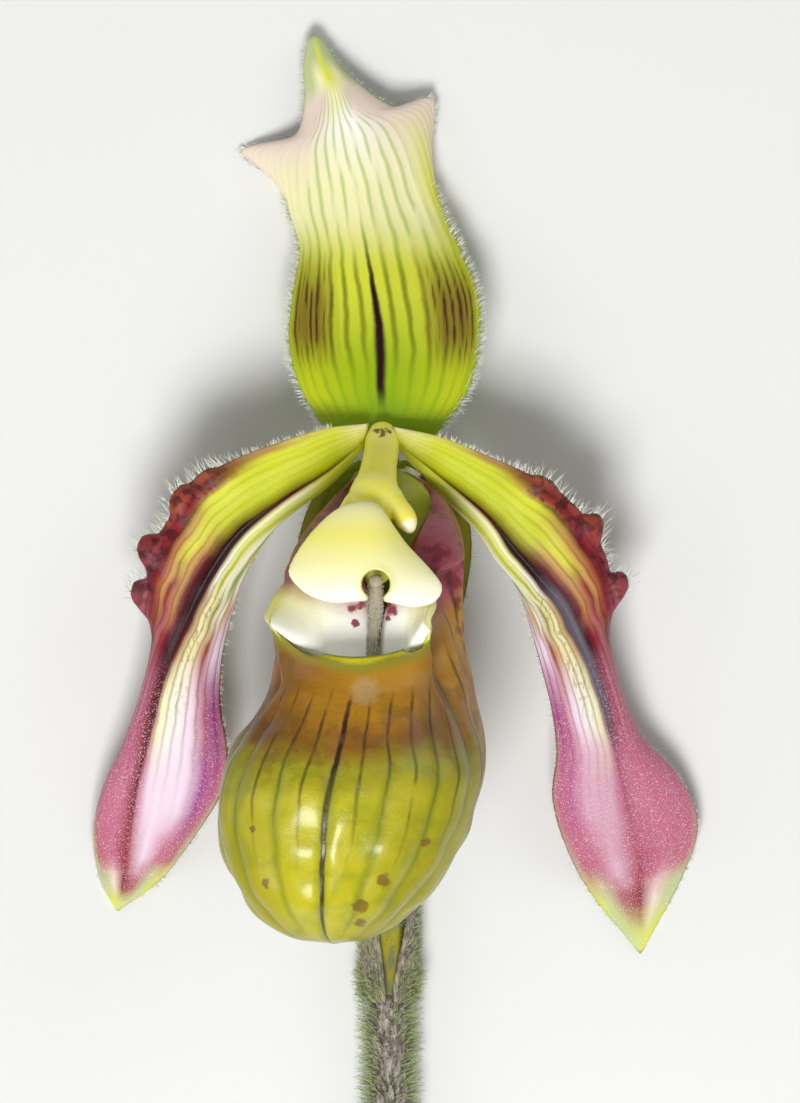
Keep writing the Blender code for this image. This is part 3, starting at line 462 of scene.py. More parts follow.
class Skin:
    """A material while it is painted: its colour so far, and the values that its layers go by."""

    def __init__(self, name, roughness, ior=1.4, **sockets):
        self.material, self.shader = start_material(name, roughness, ior, **sockets)
        self.colour = None
        self.here = self.add("TexCoord", 3)

    def add(self, kind, output=0, stops=None, links=None, **settings):
        """Adds a node with its settings, ramp stops and links, and gives the output asked for."""
        tree = self.material.node_tree
        node = tree.nodes.new("ShaderNode" + kind)
        for name, value in settings.items():
            setattr(node, name, value)
        for socket, value in (links or {}).items():
            if isinstance(value, bpy.types.NodeSocket):
                tree.links.new(value, node.inputs[socket])
            else:
                node.inputs[socket].default_value = value
        if stops:
            elements = node.color_ramp.elements
            stops = [stop.split() for stop in stops.split(",")]
            while len(elements) < len(stops):
                elements.new(0.5)
            for element, (place, colour) in zip(elements, stops):
                element.position = float(place)
                element.color = linear(colour)
        return node.outputs[output]

    def places(self):
        """Where a point is along and across its piece, each from 0 to 1."""
        uv = self.add("UVMap", uv_map="place")
        return [self.add("SeparateXYZ", axis, links={"Vector": uv}) for axis in (0, 1)]

    def mask(self, value, low, high, strength=1.0):
        """Rises from 0 to its strength as the value goes from low to high, or falls if high is lower."""
        ends = (low, high, 0.0, strength) if low < high else (high, low, strength, 0.0)
        limits = dict(zip(("From Min", "From Max", "To Min", "To Max"), ends))
        return self.add("MapRange", interpolation_type="SMOOTHSTEP", links={"Value": value, **limits})

    def band(self, value, low, full, fall, end, strength=1.0):
        """Two masks whose product is a band from low to end, at its strength from full to fall."""
        return self.mask(value, low, full), self.mask(value, end, fall, strength)

    def times(self, *values):
        product = values[0]
        for value in values[1:]:
            product = self.add("Math", operation="MULTIPLY", links={0: product, 1: value})
        return product

    def away(self, value, middle):
        """How far a value is from a middle one, to either side."""
        apart = self.add("Math", operation="SUBTRACT", links={0: value, 1: middle})
        return self.add("Math", operation="ABSOLUTE", links={0: apart})

    def grain(self, size_in_mm, detail=2.0, stretch=None, output=0):
        """Fine noise in the piece's own place, longer along an axis where stretch says so."""
        here = self.here
        if stretch:
            here = self.add("Mapping", links={"Vector": here, "Scale": stretch})
        return self.add("TexNoise", output, links={
            "Vector": here, "Scale": per_metre(size_in_mm), "Detail": detail})

    def wavering(self, value, size_in_mm, amount):
        """A value pushed to and fro by noise of a size, so that lines and borders aren't ruled."""
        push = self.add("MapRange", links={
            "Value": self.grain(size_in_mm, 3.0), "From Min": 0.25, "From Max": 0.75,
            "To Min": -amount, "To Max": amount})
        return self.add("Math", operation="ADD", links={0: value, 1: push})

    def veins(self, across, count, half_width):
        """Even veins across a piece: 1 on each, falling to 0 at its half width, a share of the gap."""
        steps = self.add("Math", operation="MULTIPLY", links={0: across, 1: float(count)})
        return self.mask(self.add("Math", operation="PINGPONG", links={0: steps, 1: 0.5}), half_width, 0.0)

    def lay(self, paint, *shares):
        """Lays a colour over the colour so far, by the product of the shares."""
        over = linear(paint) if isinstance(paint, str) else paint
        self.colour = self.add("Mix", 2, data_type="RGBA", links={
            0: self.times(*shares), 6: self.colour, 7: over})

    def ramps(self, along, across, table):
        """Colour that changes across a piece by ramps, and along it from one ramp to the next."""
        last = None
        for place, stops in table.items():
            ramp = self.add("ValToRGB", stops=stops, links={"Fac": across})
            if last is None:
                self.colour = ramp
            else:
                self.lay(ramp, self.mask(along, last, place))
            last = place

    def spots(self, paint, strength, *places):
        """Paints uneven spots, each an x, a y and a radius seen from above, in millimetres."""
        push = self.add("VectorMath", operation="MULTIPLY_ADD", links={
            0: self.grain(0.9, output=1), 1: (1.2 * MM, 1.2 * MM, 0.0), 2: (-0.6 * MM, -0.6 * MM, 0.0)})
        here = self.add("VectorMath", operation="MULTIPLY_ADD", links={
            0: self.here, 1: (1.0, 1.0, 0.0), 2: push})
        for x, y, radius in places:
            away = self.distance(here, (x, y, 0.0))
            self.lay(paint, self.mask(away, 1.2 * radius * MM, 0.6 * radius * MM, strength))

    def distance(self, here, point):
        return self.add("VectorMath", 1, operation="DISTANCE", links={0: here, 1: tuple(in_world(point))})

    def finish(self, height, distance_in_mm, strength):
        """Joins the colour and the fine relief to the shader."""
        bump = self.add("Bump", links={
            "Height": height, "Distance": distance_in_mm * MM, "Strength": strength})
        self.material.node_tree.links.new(self.colour, self.shader.inputs["Base Color"])
        self.material.node_tree.links.new(bump, self.shader.inputs["Normal"])
        return self.material


def petal_skin():
    """A living petal: a satin skin of domed cells over pigment, glittering where it is rosy, partly by the
    cells' relief and partly by painted pale speckles and sheen.
    """
    skin = Skin("living_petal", 0.42, Specular_IOR_Level=0.3)
    mask, band = skin.mask, skin.band
    place_along, place_across = skin.places()
    along, across = skin.wavering(place_along, 4.0, 0.015), skin.wavering(place_across, 4.0, 0.012)
    skin.ramps(along, across, PETAL_RAMPS)
    lines = skin.veins(across, 16, 0.28)
    skin.lay("maroon", lines, mask(along, 0.14, 0.36, 0.5), mask(along, 0.85, 0.55))
    skin.lay("leaf_green", lines, mask(along, 0.3, 0.16, 0.18))
    skin.lay("dark_maroon", mask(place_across, 0.16, 0.08), mask(skin.grain(1.1, 3.0), 0.45, 0.6, 0.7),
             *band(along, 0.16, 0.24, 0.42, 0.5))
    stipple = skin.grain(0.3, 1.0, (1.0, 0.4, 1.0))
    skin.lay("olive", mask(stipple, 0.56, 0.66, 0.5), *band(along, 0.28, 0.36, 0.56, 0.68),
             *band(across, 0.58, 0.64, 0.7, 0.78))
    right = mask(skin.add("SeparateXYZ", 0, links={"Vector": skin.here}), 0.0, 2 * MM)
    skin.lay("rose", right, *band(along, 0.6, 0.74, 0.85, 0.95, 0.6))
    # Painted sheen: a slate-grey strip along the right petal's groove stands for the shine on it.
    skin.lay("slate", right, *band(across, 0.4, 0.47, 0.54, 0.6), *band(along, 0.3, 0.38, 0.6, 0.7, 0.7))
    cells = skin.grain(0.14, 1.0)
    # Painted glitter: pale lilac-white speckles on the rosy blade stand for highlights on its domed cells.
    skin.lay("lilac_white", mask(cells, 0.55, 0.7, 0.55), mask(along, 0.5, 0.66))
    return skin.finish(cells, 0.05, 0.8)


def sepal_skin():
    """A living sepal: a satin skin, ivory above and yellow-green below, with green veins."""
    skin = Skin("living_sepal", 0.5, Specular_IOR_Level=0.3)
    mask, band = skin.mask, skin.band
    along, across = skin.places()
    across = skin.wavering(across, 5.0, 0.006)
    skin.ramps(along, across, SEPAL_RAMPS)
    lines = skin.veins(across, 26, 0.26)
    uneven = mask(skin.grain(1.6, 1.0, (1.0, 0.05, 0.3)), 0.35, 0.5)
    inner = skin.times(*band(across, 0.26, 0.36, 0.64, 0.74))
    skin.lay("leaf", lines, uneven, mask(along, 0.85, 0.72, 0.55), inner)
    skin.lay("leaf_green", lines, mask(along, 0.48, 0.3, 0.32))
    skin.lay("brown", lines, mask(along, 0.42, 0.32, 0.5), mask(along, 0.1, 0.2),
             *band(across, 0.34, 0.4, 0.6, 0.66))
    hatching = skin.veins(across, 52, 0.42)
    flecks = mask(skin.grain(0.5, 2.0, (1.0, 0.06, 0.3)), 0.36, 0.54)
    left, right = (
        skin.times(mask(skin.away(across, middle), half, 0.3 * half), *band(along, 0.12, 0.22, 0.28, 0.42))
        for middle, half in ((0.318, 0.1), (0.683, 0.09)))
    patch = skin.add("Math", operation="MAXIMUM", links={0: left, 1: right})
    skin.lay("brown", patch, 0.75)
    skin.lay("bark_brown", patch, flecks, hatching)
    width = skin.add("Math", operation="ADD", links={0: mask(along, 0.4, 0.16, 0.016), 1: 0.006})
    keel = skin.add("Math", operation="DIVIDE", links={0: skin.away(across, 0.5), 1: width})
    skin.lay("dark_maroon", mask(keel, 1.0, 0.2), *band(along, 0.04, 0.1, 0.3, 0.48))
    return skin.finish(skin.grain(0.2, 1.0), 0.03, 0.4)


def green_sepal_skin():
    """The lower sepals: plain leaf green with darker veins under a satin skin."""
    skin = Skin("green_sepal", 0.5, Specular_IOR_Level=0.3)
    along, across = skin.places()
    skin.ramps(along, across, GREEN_SEPAL_RAMPS)
    skin.lay("olive", skin.veins(across, 12, 0.3), 0.4)
    return skin.finish(skin.grain(0.2, 1.0), 0.03, 0.4)


def pouch_skin():
    """The lip's waxy skin: glossy and thin over green and brown pigment, ivory on its side lobes."""
    skin = Skin("waxy_pouch", 0.42, 1.45, Specular_IOR_Level=0.3, Coat_Weight=0.5, Coat_Roughness=0.22)
    mask, band = skin.mask, skin.band
    place_along, place_across = skin.places()
    along, across = skin.wavering(place_along, 5.0, 0.012), skin.wavering(place_across, 6.0, 0.004)
    skin.ramps(along, across, POUCH_RAMPS)
    streaky = mask(skin.grain(2.0, 2.0, (1.0, 0.4, 0.4)), 0.32, 0.5)
    skin.lay("dark_brown", skin.veins(across, 28, 0.13), mask(along, 0.16, 0.33, 0.85),
             mask(along, 0.43, 0.38), streaky)
    skin.lay("pouch_green", skin.veins(across, 14, 0.2), mask(along, 0.04, 0.12, 0.5),
             mask(along, 0.34, 0.28))
    skin.lay("dark_maroon", mask(skin.away(across, 0.5), 0.006, 0.002), mask(along, 0.43, 0.36, 0.9))
    bent = skin.add("VectorMath", operation="MULTIPLY_ADD", links={
        0: skin.grain(3.0, output=1), 1: (2.5 * MM,) * 3, 2: skin.here})
    net = skin.add("TexVoronoi", feature="DISTANCE_TO_EDGE", links={"Vector": bent, "Scale": per_metre(3.4)})
    skin.lay("pouch_green", mask(net, 0.26, 0.0, 0.32), mask(along, 0.4, 0.3),
             mask(skin.grain(4.0, 1.0), 0.4, 0.6))
    side = skin.away(place_across, 0.5)
    skin.lay("maroon", mask(side, 0.27, 0.3), mask(along, 0.34, 0.44),
             mask(skin.grain(1.6, 3.0), 0.45, 0.62, 0.75))
    skin.lay("dark_brown", skin.veins(across, 44, 0.2), mask(side, 0.24, 0.28), streaky,
             *band(along, 0.34, 0.42, 0.48, 0.54, 0.75))
    skin.spots("pink_maroon", 1.0, (-3.0, -17.6, 0.55), (-2.2, -17.3, 0.4), (-2.7, -19.0, 0.35),
               (1.0, -17.8, 0.65), (0.4, -17.2, 0.4), (0.6, -18.6, 0.35))
    skin.spots("brown", 0.75, (4.4, -40.8, 0.6), (0.2, -44.6, 0.75), (-2.2, -47.2, 0.8),
               (-2.2, -48.9, 0.5), (-11.5, -44.9, 0.45), (-12.9, -39.4, 0.4))
    skin.lay("brown", mask(skin.grain(2.2, 3.0), 0.5, 0.62), mask(along, 0.27, 0.33, 0.45),
             mask(along, 0.42, 0.36))
    skin.spots("beige", 0.7, (-1.7, -25.8, 1.5))
    skin.spots("ivory", 0.8, (-3.2, -3.4, 1.2), (3.1, -3.3, 1.3))
    far_face = mask(skin.add("Attribute", 2, attribute_name="face"), 0.6, 0.4)
    under = skin.add("ValToRGB", stops="0 pouch_green, 0.35 yellow_green, 1 pale_green",
                     links={"Fac": place_along})
    skin.lay(under, far_face, mask(place_along, 0.52, 0.5))
    creases = skin.times(skin.grain(3.2, 3.0), mask(along, 0.05, 0.2), mask(along, 0.48, 0.4))
    cells = skin.grain(0.2, 1.0)
    height = skin.add("Math", operation="MULTIPLY_ADD", links={0: cells, 1: 0.1, 2: creases})
    return skin.finish(height, 0.45, 0.9)


def wax(name, paint):
    """Waxy tissue without hairs: smooth, faintly translucent and softly glossy."""
    skin = Skin(name, 0.35, 1.45, Subsurface_Weight=0.05, Subsurface_Scale=0.6 * MM)
    paint(skin)
    return skin.finish(skin.grain(0.25, 1.0), 0.01, 0.3)


def paint_shield(skin):
    upward = skin.add("SeparateXYZ", 1, links={"Vector": skin.here})
    low, high = (CENTRE[1] + y * MM for y in (-17.6, -7.0))
    share = skin.add("MapRange", links={"Value": upward, "From Min": low, "From Max": high})
    skin.colour = skin.add("ValToRGB", stops="0 white, 0.35 cream, 0.7 butter, 1 cream",
                           links={"Fac": share})
    away = skin.distance(skin.here, (*KEYHOLE_CENTRE, 30.0))
    skin.lay("yellow_green", skin.mask(away, 2.6 * MM, 1.2 * MM, 0.85))


def paint_column(skin):
    skin.colour = skin.add("ValToRGB", stops="0.35 lemon, 0.65 butter", links={"Fac": skin.grain(1.5)})
    skin.spots("brown", 0.9, (-0.6, 0.1, 0.3), (0.0, -0.1, 0.35), (0.6, 0.1, 0.3))
    skin.spots("ivory", 0.8, (2.9, -9.6, 1.0), (-4.8, -10.6, 1.0))


def hairy_skin(name, ground, dots, size_in_mm):
    """Dull skin under hairs, mottled with darker dots."""
    skin = Skin(name, 0.7)
    mottling = skin.grain(size_in_mm, 3.0, (1.0, 0.3, 1.0))
    skin.colour = skin.add("ValToRGB", stops=f"0.42 {dots}, 0.62 {ground}", links={"Fac": mottling})
    return skin.finish(mottling, 0.06, 0.6)


def hair_matter(name, colour):
    """A plant hair: a thin clear cell that looks pale and catches the light."""
    return start_material(name, 0.35, Base_Color=linear(colour))[0]


# Petals and sepals


def section_grid(sections, along, across):
    """The points of a sheet through its sections, at places along and across."""
    rails = smooth_through(sections, along[:, 0])
    return np.stack([smooth_through(rail, across[0]) for rail in rails])


def blade_thickness(along, across, taper=0.02):
    """Half the thickness, rounded off at both margins and both ends."""
    return BLADE / 2 * rounded(across, 10) * window(along, 0, taper, 1 - taper, 1)


def above_floor(points):
    points[..., 2] = np.maximum(points[..., 2], BLADE / 2)
    return points


def petal_rows(outline, lobes):
    """The petal's sections with its lobed outer edge, at a finer spacing than its outline."""
    rows = np.array([[(x, y, z) for (x, y), z in zip(section, heights)]
                     for section, heights in zip(outline, PETAL_HEIGHTS)])
    places = np.linspace(0, 1, PETAL_ROWS)
    outer, groove, inner = (smooth_through(rows[:, column], places) for column in range(3))
    outwards = outer - groove
    width = np.maximum(np.linalg.norm(outwards, axis=1), 1e-6)
    reach = sum(size * np.exp(-(((places - place) / LOBE_HALF_LENGTH) ** 4)) for place, size in lobes)
    lobed = outer + (reach / width)[:, None] * outwards
    return np.stack((lobed, groove, inner), axis=1), reach / width


def petal_surface(outline, lobes, along, across):
    """The petal's sheet, and where each point would be across it if it had no lobes."""
    rows, growth = petal_rows(outline, lobes)
    points = section_grid(rows, along, across)
    taper = window(along, 0.0, 0.12, PETAL_FLAT_FROM - 0.06, PETAL_FLAT_FROM + 0.06)
    crown = PETAL_CROWN * np.sin(np.pi * (1 - np.abs(2 * across - 1))) * taper
    ruffled = window(along, RUFFLE_FROM, 0.2, 0.42, RUFFLE_TO) * np.maximum(1 - 3 * across, 0)
    ruffle = RUFFLE_HEIGHT * np.sin(2 * np.pi * RUFFLES * along) * ruffled
    ribs = PETAL_RIB * np.cos(2 * np.pi * PETAL_RIBS * across) * taper
    knobs = sum(KNOB_HEIGHT * bump_at(along, place, 0.02) * bump_at(across, 0.04, 0.08)
                for place, _ in lobes)
    points = above_floor(points + (crown + ruffle + ribs + knobs)[..., None] * square_to(points))
    growth = smooth_through(growth, along[:, 0])[:, None]
    marks = np.clip(across - np.maximum(0.5 - across, 0) * growth, 0, 1)
    return points, square_to(points), marks


def sepal_surface(sections, along, across):
    points = section_grid(sections, along, across)
    ribs = SEPAL_RIB * np.cos(2 * np.pi * SEPAL_RIBS * across) * window(along, 0, 0.1, 0.5, 0.7)
    points = above_floor(points + ribs[..., None] * square_to(points))
    return points, square_to(points), None


def grow_blades(materials):
    """The petals and sepals; gives each one's points and the directions square to it."""
    made = {}
    for name, slot, counts, surface, shape in (
            ("petal_left", "petal", (150, 44), petal_surface, (PETAL_LEFT, LOBES_LEFT)),
            ("petal_right", "petal", (150, 44), petal_surface, (PETAL_RIGHT, LOBES_RIGHT)),
            ("dorsal_sepal", "dorsal_sepal", (120, 104), sepal_surface, (DORSAL_SEPAL,)),
            ("synsepalum", "synsepalum", (60, 40), sepal_surface, (SYNSEPALUM,))):
        along, across = lattice(*counts)
        points, normals, marks = surface(*shape, along, across)
        body = folded_body(points, normals, blade_thickness(along, across), marks=marks)
        piece(name + "_bloom", body, materials[slot], slot, name)
        made[name] = points, normals
    return made


# The lip


def ear_share(angle, end=EAR_TO):
    return window(angle, EAR_FROM, EAR_FROM + EAR_EASE, end - EAR_EASE, end)


def lip_wall(angle, place):
    """The lip's outer wall, upright, at angles in degrees from the front and from toe to mouth."""
    front, back = smooth_through(LIP_FRONT, place), smooth_through(LIP_BACK, place)
    turn = np.radians(angle)
    forward = (((1 + np.cos(turn)) / 2) ** LIP_FRONT_POWER)[..., None]
    near_rim = smooth_step(0.88, 1.0, place)
    pinch = NECK_PINCH * bump_at(angle, NECK_PINCH_AT, NECK_PINCH_SPREAD)
    pinch = pinch * smooth_step(0.62, 0.84, place) * (1 - 0.45 * near_rim)
    tuck = TUCK * bump_at(angle, TUCK_AT, TUCK_SPREAD) * near_rim
    across = np.maximum(np.sin(turn), 0.0) ** np.where(angle > 90, LIP_BACK_POWER, 1.0)
    x = smooth_through(LIP_HALF_WIDTH, place) * (1 - pinch - tuck) * across
    y, z = np.moveaxis(back + (front - back) * forward, -1, 0)
    return np.stack((x, y, z + EAR_RISE * ear_share(angle) * near_rim), axis=-1)


def side_lobe_edge(angle):
    """The free edge of the side lobe at angles round the mouth, upright."""
    angles = np.array(SIDE_LOBE_ANGLES)
    ends = lip_wall(angles, np.ones(len(angles)))
    points = [end if point is None else point for end, point in zip(ends, SIDE_LOBE_EDGE)]
    edge = smooth_through(points, np.interp(angle, angles, np.linspace(0, 1, len(angles))))
    outside = (angle <= angles[0]) | (angle >= angles[-1])
    return np.where(outside[..., None], lip_wall(angle, np.ones(angle.shape)), edge)


def lip_surface(angle, place):
    """place runs from toe to mouth as it goes from 0 to 1, and over the side lobe up to 2."""
    turn, part = np.abs(angle), np.clip(place - 1, 0, 1)
    mirror = np.stack((np.where(angle < 0, -1.0, 1.0), np.ones_like(part), np.ones_like(part)), axis=-1)
    wall, edge = lip_wall(turn, np.minimum(place, 1.0)), side_lobe_edge(turn)
    spread = np.clip((turn - SIDE_LOBE_ANGLES[0]) / (180 - SIDE_LOBE_ANGLES[0]), 0, 1)
    lift = np.stack((0 * spread, 0 * spread, SIDE_LOBE_FOLD * np.sin(np.pi * spread)), axis=-1)
    share = part[..., None]
    points = mirror * (
        wall * (1 - share) ** 2 + 2 * (wall + lift) * share * (1 - share) + edge * share ** 2)
    x, y, z = np.moveaxis(points, -1, 0)
    valley = bump_at(turn, VALLEY_AT, VALLEY_SPREAD) * bump_at(part, VALLEY_PART, 0.09) * (part > 0)
    z -= VALLEY * valley * smooth_step(*SIDE_LOBE_ANGLES[:2], turn)
    x += SLIT_SHIFT * part * window(turn, 64.0, 80.0, 115.0, 150.0)
    faded = 1 - smooth_step(0.3, 1.0, part) * np.where(angle < 0, 1.0, smooth_step(66.0, 82.0, turn))
    x += EAR_SHIFT * ear_share(turn, EAR_SHIFT_TO) * smooth_step(0.74, 0.94, place) * faded
    lean = LIP_LEAN * (np.maximum(z, LIP_LOWEST_LEAN_Z) - LIP_UPRIGHT_Z)
    x += lean - TOE_SWING * np.maximum(0.0, TOE_SWING_FROM_Y - y)
    return points


def lip_normals(points):
    """Directions out of the lip; where the sheet has no width they carry on from the rim."""
    normals = np.cross(np.gradient(points, axis=1), np.gradient(points, axis=0))
    thin = np.linalg.norm(normals, axis=-1, keepdims=True) < 0.004
    normals = unit(normals)
    for row in range(1, len(points)):
        normals[row] = np.where(thin[row], normals[row - 1], normals[row])
    return normals


def grow_lip(materials):
    along, across = lattice(150, 180)
    angle, place = 360 * across - 180, 2 * along
    turn = np.abs(angle)
    points = lip_surface(angle, place)
    normals = lip_normals(points)
    bulge = POUCH_BULGE * np.abs(np.sin(np.pi * POUCH_GROOVES * (across - 0.5))) ** 0.7
    bulge *= window(place, 0.05, 0.3, 0.65, 0.85) * (0.4 + 0.6 * smooth_step(20.0, 60.0, turn))
    lumps = np.array([noise.noise(Vector(point) / LUMP_SIZE) for point in points.reshape(-1, 3)])
    bulge += LUMP_HEIGHT * lumps.reshape(place.shape) * window(place, 0.05, 0.3, 0.75, 0.95)
    crease = CREASE_DEPTH * bump_at(across, 0.5, 0.008) * window(place, 0.02, 0.1, 0.6, 0.8)
    points = points + (bulge - crease)[..., None] * normals
    front = smooth_step(SIDE_LOBE_ANGLES[1], SIDE_LOBE_ANGLES[0], turn)
    free = smooth_step(1.0, 0.98, place) * front + smooth_step(2.0, 1.94, place) * (1 - front)
    fine = BLADE / 2 * (1 - 0.8 * smooth_step(0.88, 1.0, place) * smooth_step(76.0, 60.0, turn))
    body = folded_body(points - normals * fine[..., None], normals, fine * free, around=True)
    for low, high in EAR_BOXES:
        soften(body, low, high)
    piece("lip_bloom", body, materials["pouch"], "lip", "lip")


# Staminode, column, ovary and seam


def sides_of(spine):
    """The two directions square to a path at each of its points: aside, and up from it."""
    direction = unit(np.gradient(spine, axis=0))
    aside = unit(np.array((1.0, 0.0, 0.0)) - direction * direction[:, :1])
    return aside, np.cross(aside, direction)


def tube_body(path, rows, sides, ribs=0, rib_depth=0.0, ends=0.6):
    """A round body with domed ends; its path gives x, y, z and radius."""
    places = np.linspace(0, 1, rows + 1)
    turn = np.linspace(0, 2 * np.pi, sides + 1)[None, :, None]
    spine = smooth_through(path, places)
    aside, up = sides_of(spine[:, :3])
    outwards = np.cos(turn) * aside[:, None] + np.sin(turn) * up[:, None]
    length = np.linalg.norm(np.diff(spine[:, :3], axis=0), axis=1).sum()
    radius = spine[:, None, 3:] * (1 + rib_depth * np.cos(ribs * turn))
    for end, share in ((path[0], places), (path[-1], 1 - places)):
        dome = 1 - (1 - np.clip(share / (ends * end[3] / length), 0, 1)) ** 2
        radius = radius * np.sqrt(np.clip(dome, 0, 1))[:, None, None]
    points = spine[:, None, :3] + radius * outwards
    body = bmesh.new()
    bmesh.ops.create_grid(body, x_segments=rows, y_segments=sides, size=1.0)
    for index, vertex in enumerate(body.verts):
        side, row = divmod(index, rows + 1)
        vertex.co = in_world(points[row, side])
    bmesh.ops.remove_doubles(body, verts=body.verts[:], dist=MERGED)
    bmesh.ops.holes_fill(body, edges=body.edges[:], sides=0)
    bmesh.ops.recalc_face_normals(body, faces=body.faces[:])
    return body


def loose(name, shapes):
    """Several bodies as one object, not yet grown together."""
    whole = bmesh.new()
    for shape in shapes:
        mesh = bpy.data.meshes.new("shape")
        shape.to_mesh(mesh)
        shape.free()
        whole.from_mesh(mesh)
        bpy.data.meshes.remove(mesh)
    return in_scene(name, whole)


def fused(name, bodies, holes, voxel, smoothing):
    """The bodies grown into one with smooth joins, after the holes are cut out of them."""
    rough = loose(name + "_rough", bodies)
    helpers = [rough]
    if holes:
        helpers.append(loose(name + "_hole", holes))
        cut = rough.modifiers.new("hole", "BOOLEAN")
        cut.operation, cut.object, cut.use_self = "DIFFERENCE", helpers[1], True
    remesh = rough.modifiers.new("grown", "REMESH")
    remesh.mode, remesh.voxel_size = "VOXEL", voxel * MM
    soft = rough.modifiers.new("soft", "SMOOTH")
    soft.factor, soft.iterations = 0.5, smoothing
    evaluated = rough.evaluated_get(bpy.context.evaluated_depsgraph_get())
    body = bmesh.new()
    body.from_mesh(evaluated.to_mesh())
    evaluated.to_mesh_clear()
    for made in helpers:
        mesh = made.data
        bpy.data.objects.remove(made)
        bpy.data.meshes.remove(mesh)
    return body


def grow_column(materials):
    """The column with an anther lobe at each side and the stigma's pad, grown together."""
    bodies = [tube_body(COLUMN_PATH, 40, 32), tube_body(ANTHER_LEFT_PATH, 24, 24),
              tube_body(ANTHER_RIGHT_PATH, 24, 24),
              shaped("uvsphere", STIGMA_CENTRE, [size * MM for size in STIGMA_SIZE], radius=0.5, **ROUND)]
    piece("column_bloom", fused("column", bodies, [], 0.14, 10), materials["column"], "column",
          "column", "anther_left", "anther_right")


def grow_staminode(materials):
    """The shield, a soft pillow with a keyhole that runs out through its lower edge."""
    along, across = lattice(60, 60)
    points = section_grid(STAMINODE, along, across)
    half = SHIELD_HALF_THICKNESS * rounded(across, 4) * rounded(along, 6)
    x, y = KEYHOLE_CENTRE
    holes = [
        shaped("cone", (x, y, KEYHOLE_Z), cap_ends=True, segments=32, radius1=0.9 * KEYHOLE_RADIUS * MM,
               radius2=1.2 * KEYHOLE_RADIUS * MM, depth=KEYHOLE_DEPTH * MM),
        shaped("cube", (x, y - 2.2, KEYHOLE_Z), (KEYHOLE_SLOT * MM, 4 * MM, KEYHOLE_DEPTH * MM), size=1.0),
    ]
    body = fused("staminode", [folded_body(points, square_to(points), half)], holes, 0.13, 12)
    piece("staminode_bloom", body, materials["shield"], "staminode", "staminode")


def grow_ovary(materials):
    piece("ovary_bloom", tube_body(OVARY_PATH, 120, 48, OVARY_RIBS, OVARY_RIB_DEPTH),
          materials["ovary"], "ovary", "ovary")


def grow_seam(materials, pale):
    """The fuzzy ridge seen between the side lobes, with a knob behind the keyhole."""
    along, across = lattice(40, 10)
    points = section_grid(SEAM, along, across)
    normals = square_to(points)
    points = points + (SEAM_CROWN * np.sin(np.pi * across))[..., None] * normals
    half = SEAM_HALF_THICKNESS * rounded(across, 4) * window(along, 0, 0.05, 0.95, 1)
    piece("seam_ridge", folded_body(points, normals, half), materials["seam"], "lip")
    knob = shaped("uvsphere", SEAM_KNOB, (1.0, 0.9, 0.7), radius=SEAM_KNOB_RADIUS * MM, **ROUND)
    piece("seam_knob", knob, materials["seam"], "lip")
    coat = coat_of((points, normals), faces=((700, 0.02, 0.98, 0.02, 0.98, 0.3, (0.0, -0.8, 0.0)),))
    coat[0][:, 2] -= 0.1
    grow_hairs("seam_hairs", "lip", pale, coat, 0.03, 0.3)


# Stem and bract


def grow_stem(materials):
    path = [(STEM_X + (STEM_END_X - STEM_X) * p ** 2, STEM_TOP_Y + (STEM_END_Y - STEM_TOP_Y) * p,
             STEM_RADIUS + (BRACT_MIDDLE_Z - STEM_RADIUS) * float(smooth_step(STEM_LEVEL_FROM, 0.0, p)),
             STEM_RADIUS) for p in np.linspace(0, 1, 15)]
    piece("stem_bloom", tube_body(path, 120, 36, ends=0.15), materials["stem"], "stem", "stem")
    return path


def grow_bract(materials):
    """The sheath, rolled round the ovary's foot and open towards its tip."""
    along, across = lattice(60, 60)
    opened, pointed = smooth_step(0.05, BRACT_OPEN_BY, along), smooth_step(BRACT_OPEN_BY, 1.0, along)
    half_wrap = BRACT_CLOSED - BRACT_OPENS * opened - BRACT_NARROWS * pointed
    angle = np.radians(half_wrap * (2 * across - 1) - BRACT_TURNS * opened)
    radius = BRACT_RADIUS - (BRACT_RADIUS - BRACT_FOOT_RADIUS) * smooth_step(0.2, 0.0, along)
    outwards = np.stack((np.sin(angle), 0 * angle, -np.cos(angle)), axis=-1)
    points = radius[..., None] * outwards + (STEM_X, 0.0, BRACT_MIDDLE_Z)
    points[..., 1] = BRACT_FROM_Y + (BRACT_TO_Y - BRACT_FROM_Y) * along
    half = blade_thickness(along, across) * BRACT_THICKNESS / BLADE
    piece("bract_bloom", folded_body(points, outwards, half), materials["bract"], "bract", "bract")
    return points, outwards


# Hairs


def hair_shape():
    """One hair, a thin three-sided spike with a ring partway up; nine points in all."""
    shape = bmesh.new()
    bmesh.ops.create_cone(shape, cap_ends=True, segments=3, radius1=1.0, radius2=0.25, depth=1.0)
    bmesh.ops.bisect_plane(shape, geom=shape.verts[:] + shape.edges[:] + shape.faces[:],
                           plane_co=(0, 0, 0.1), plane_no=(0, 0, 1))
    return shape


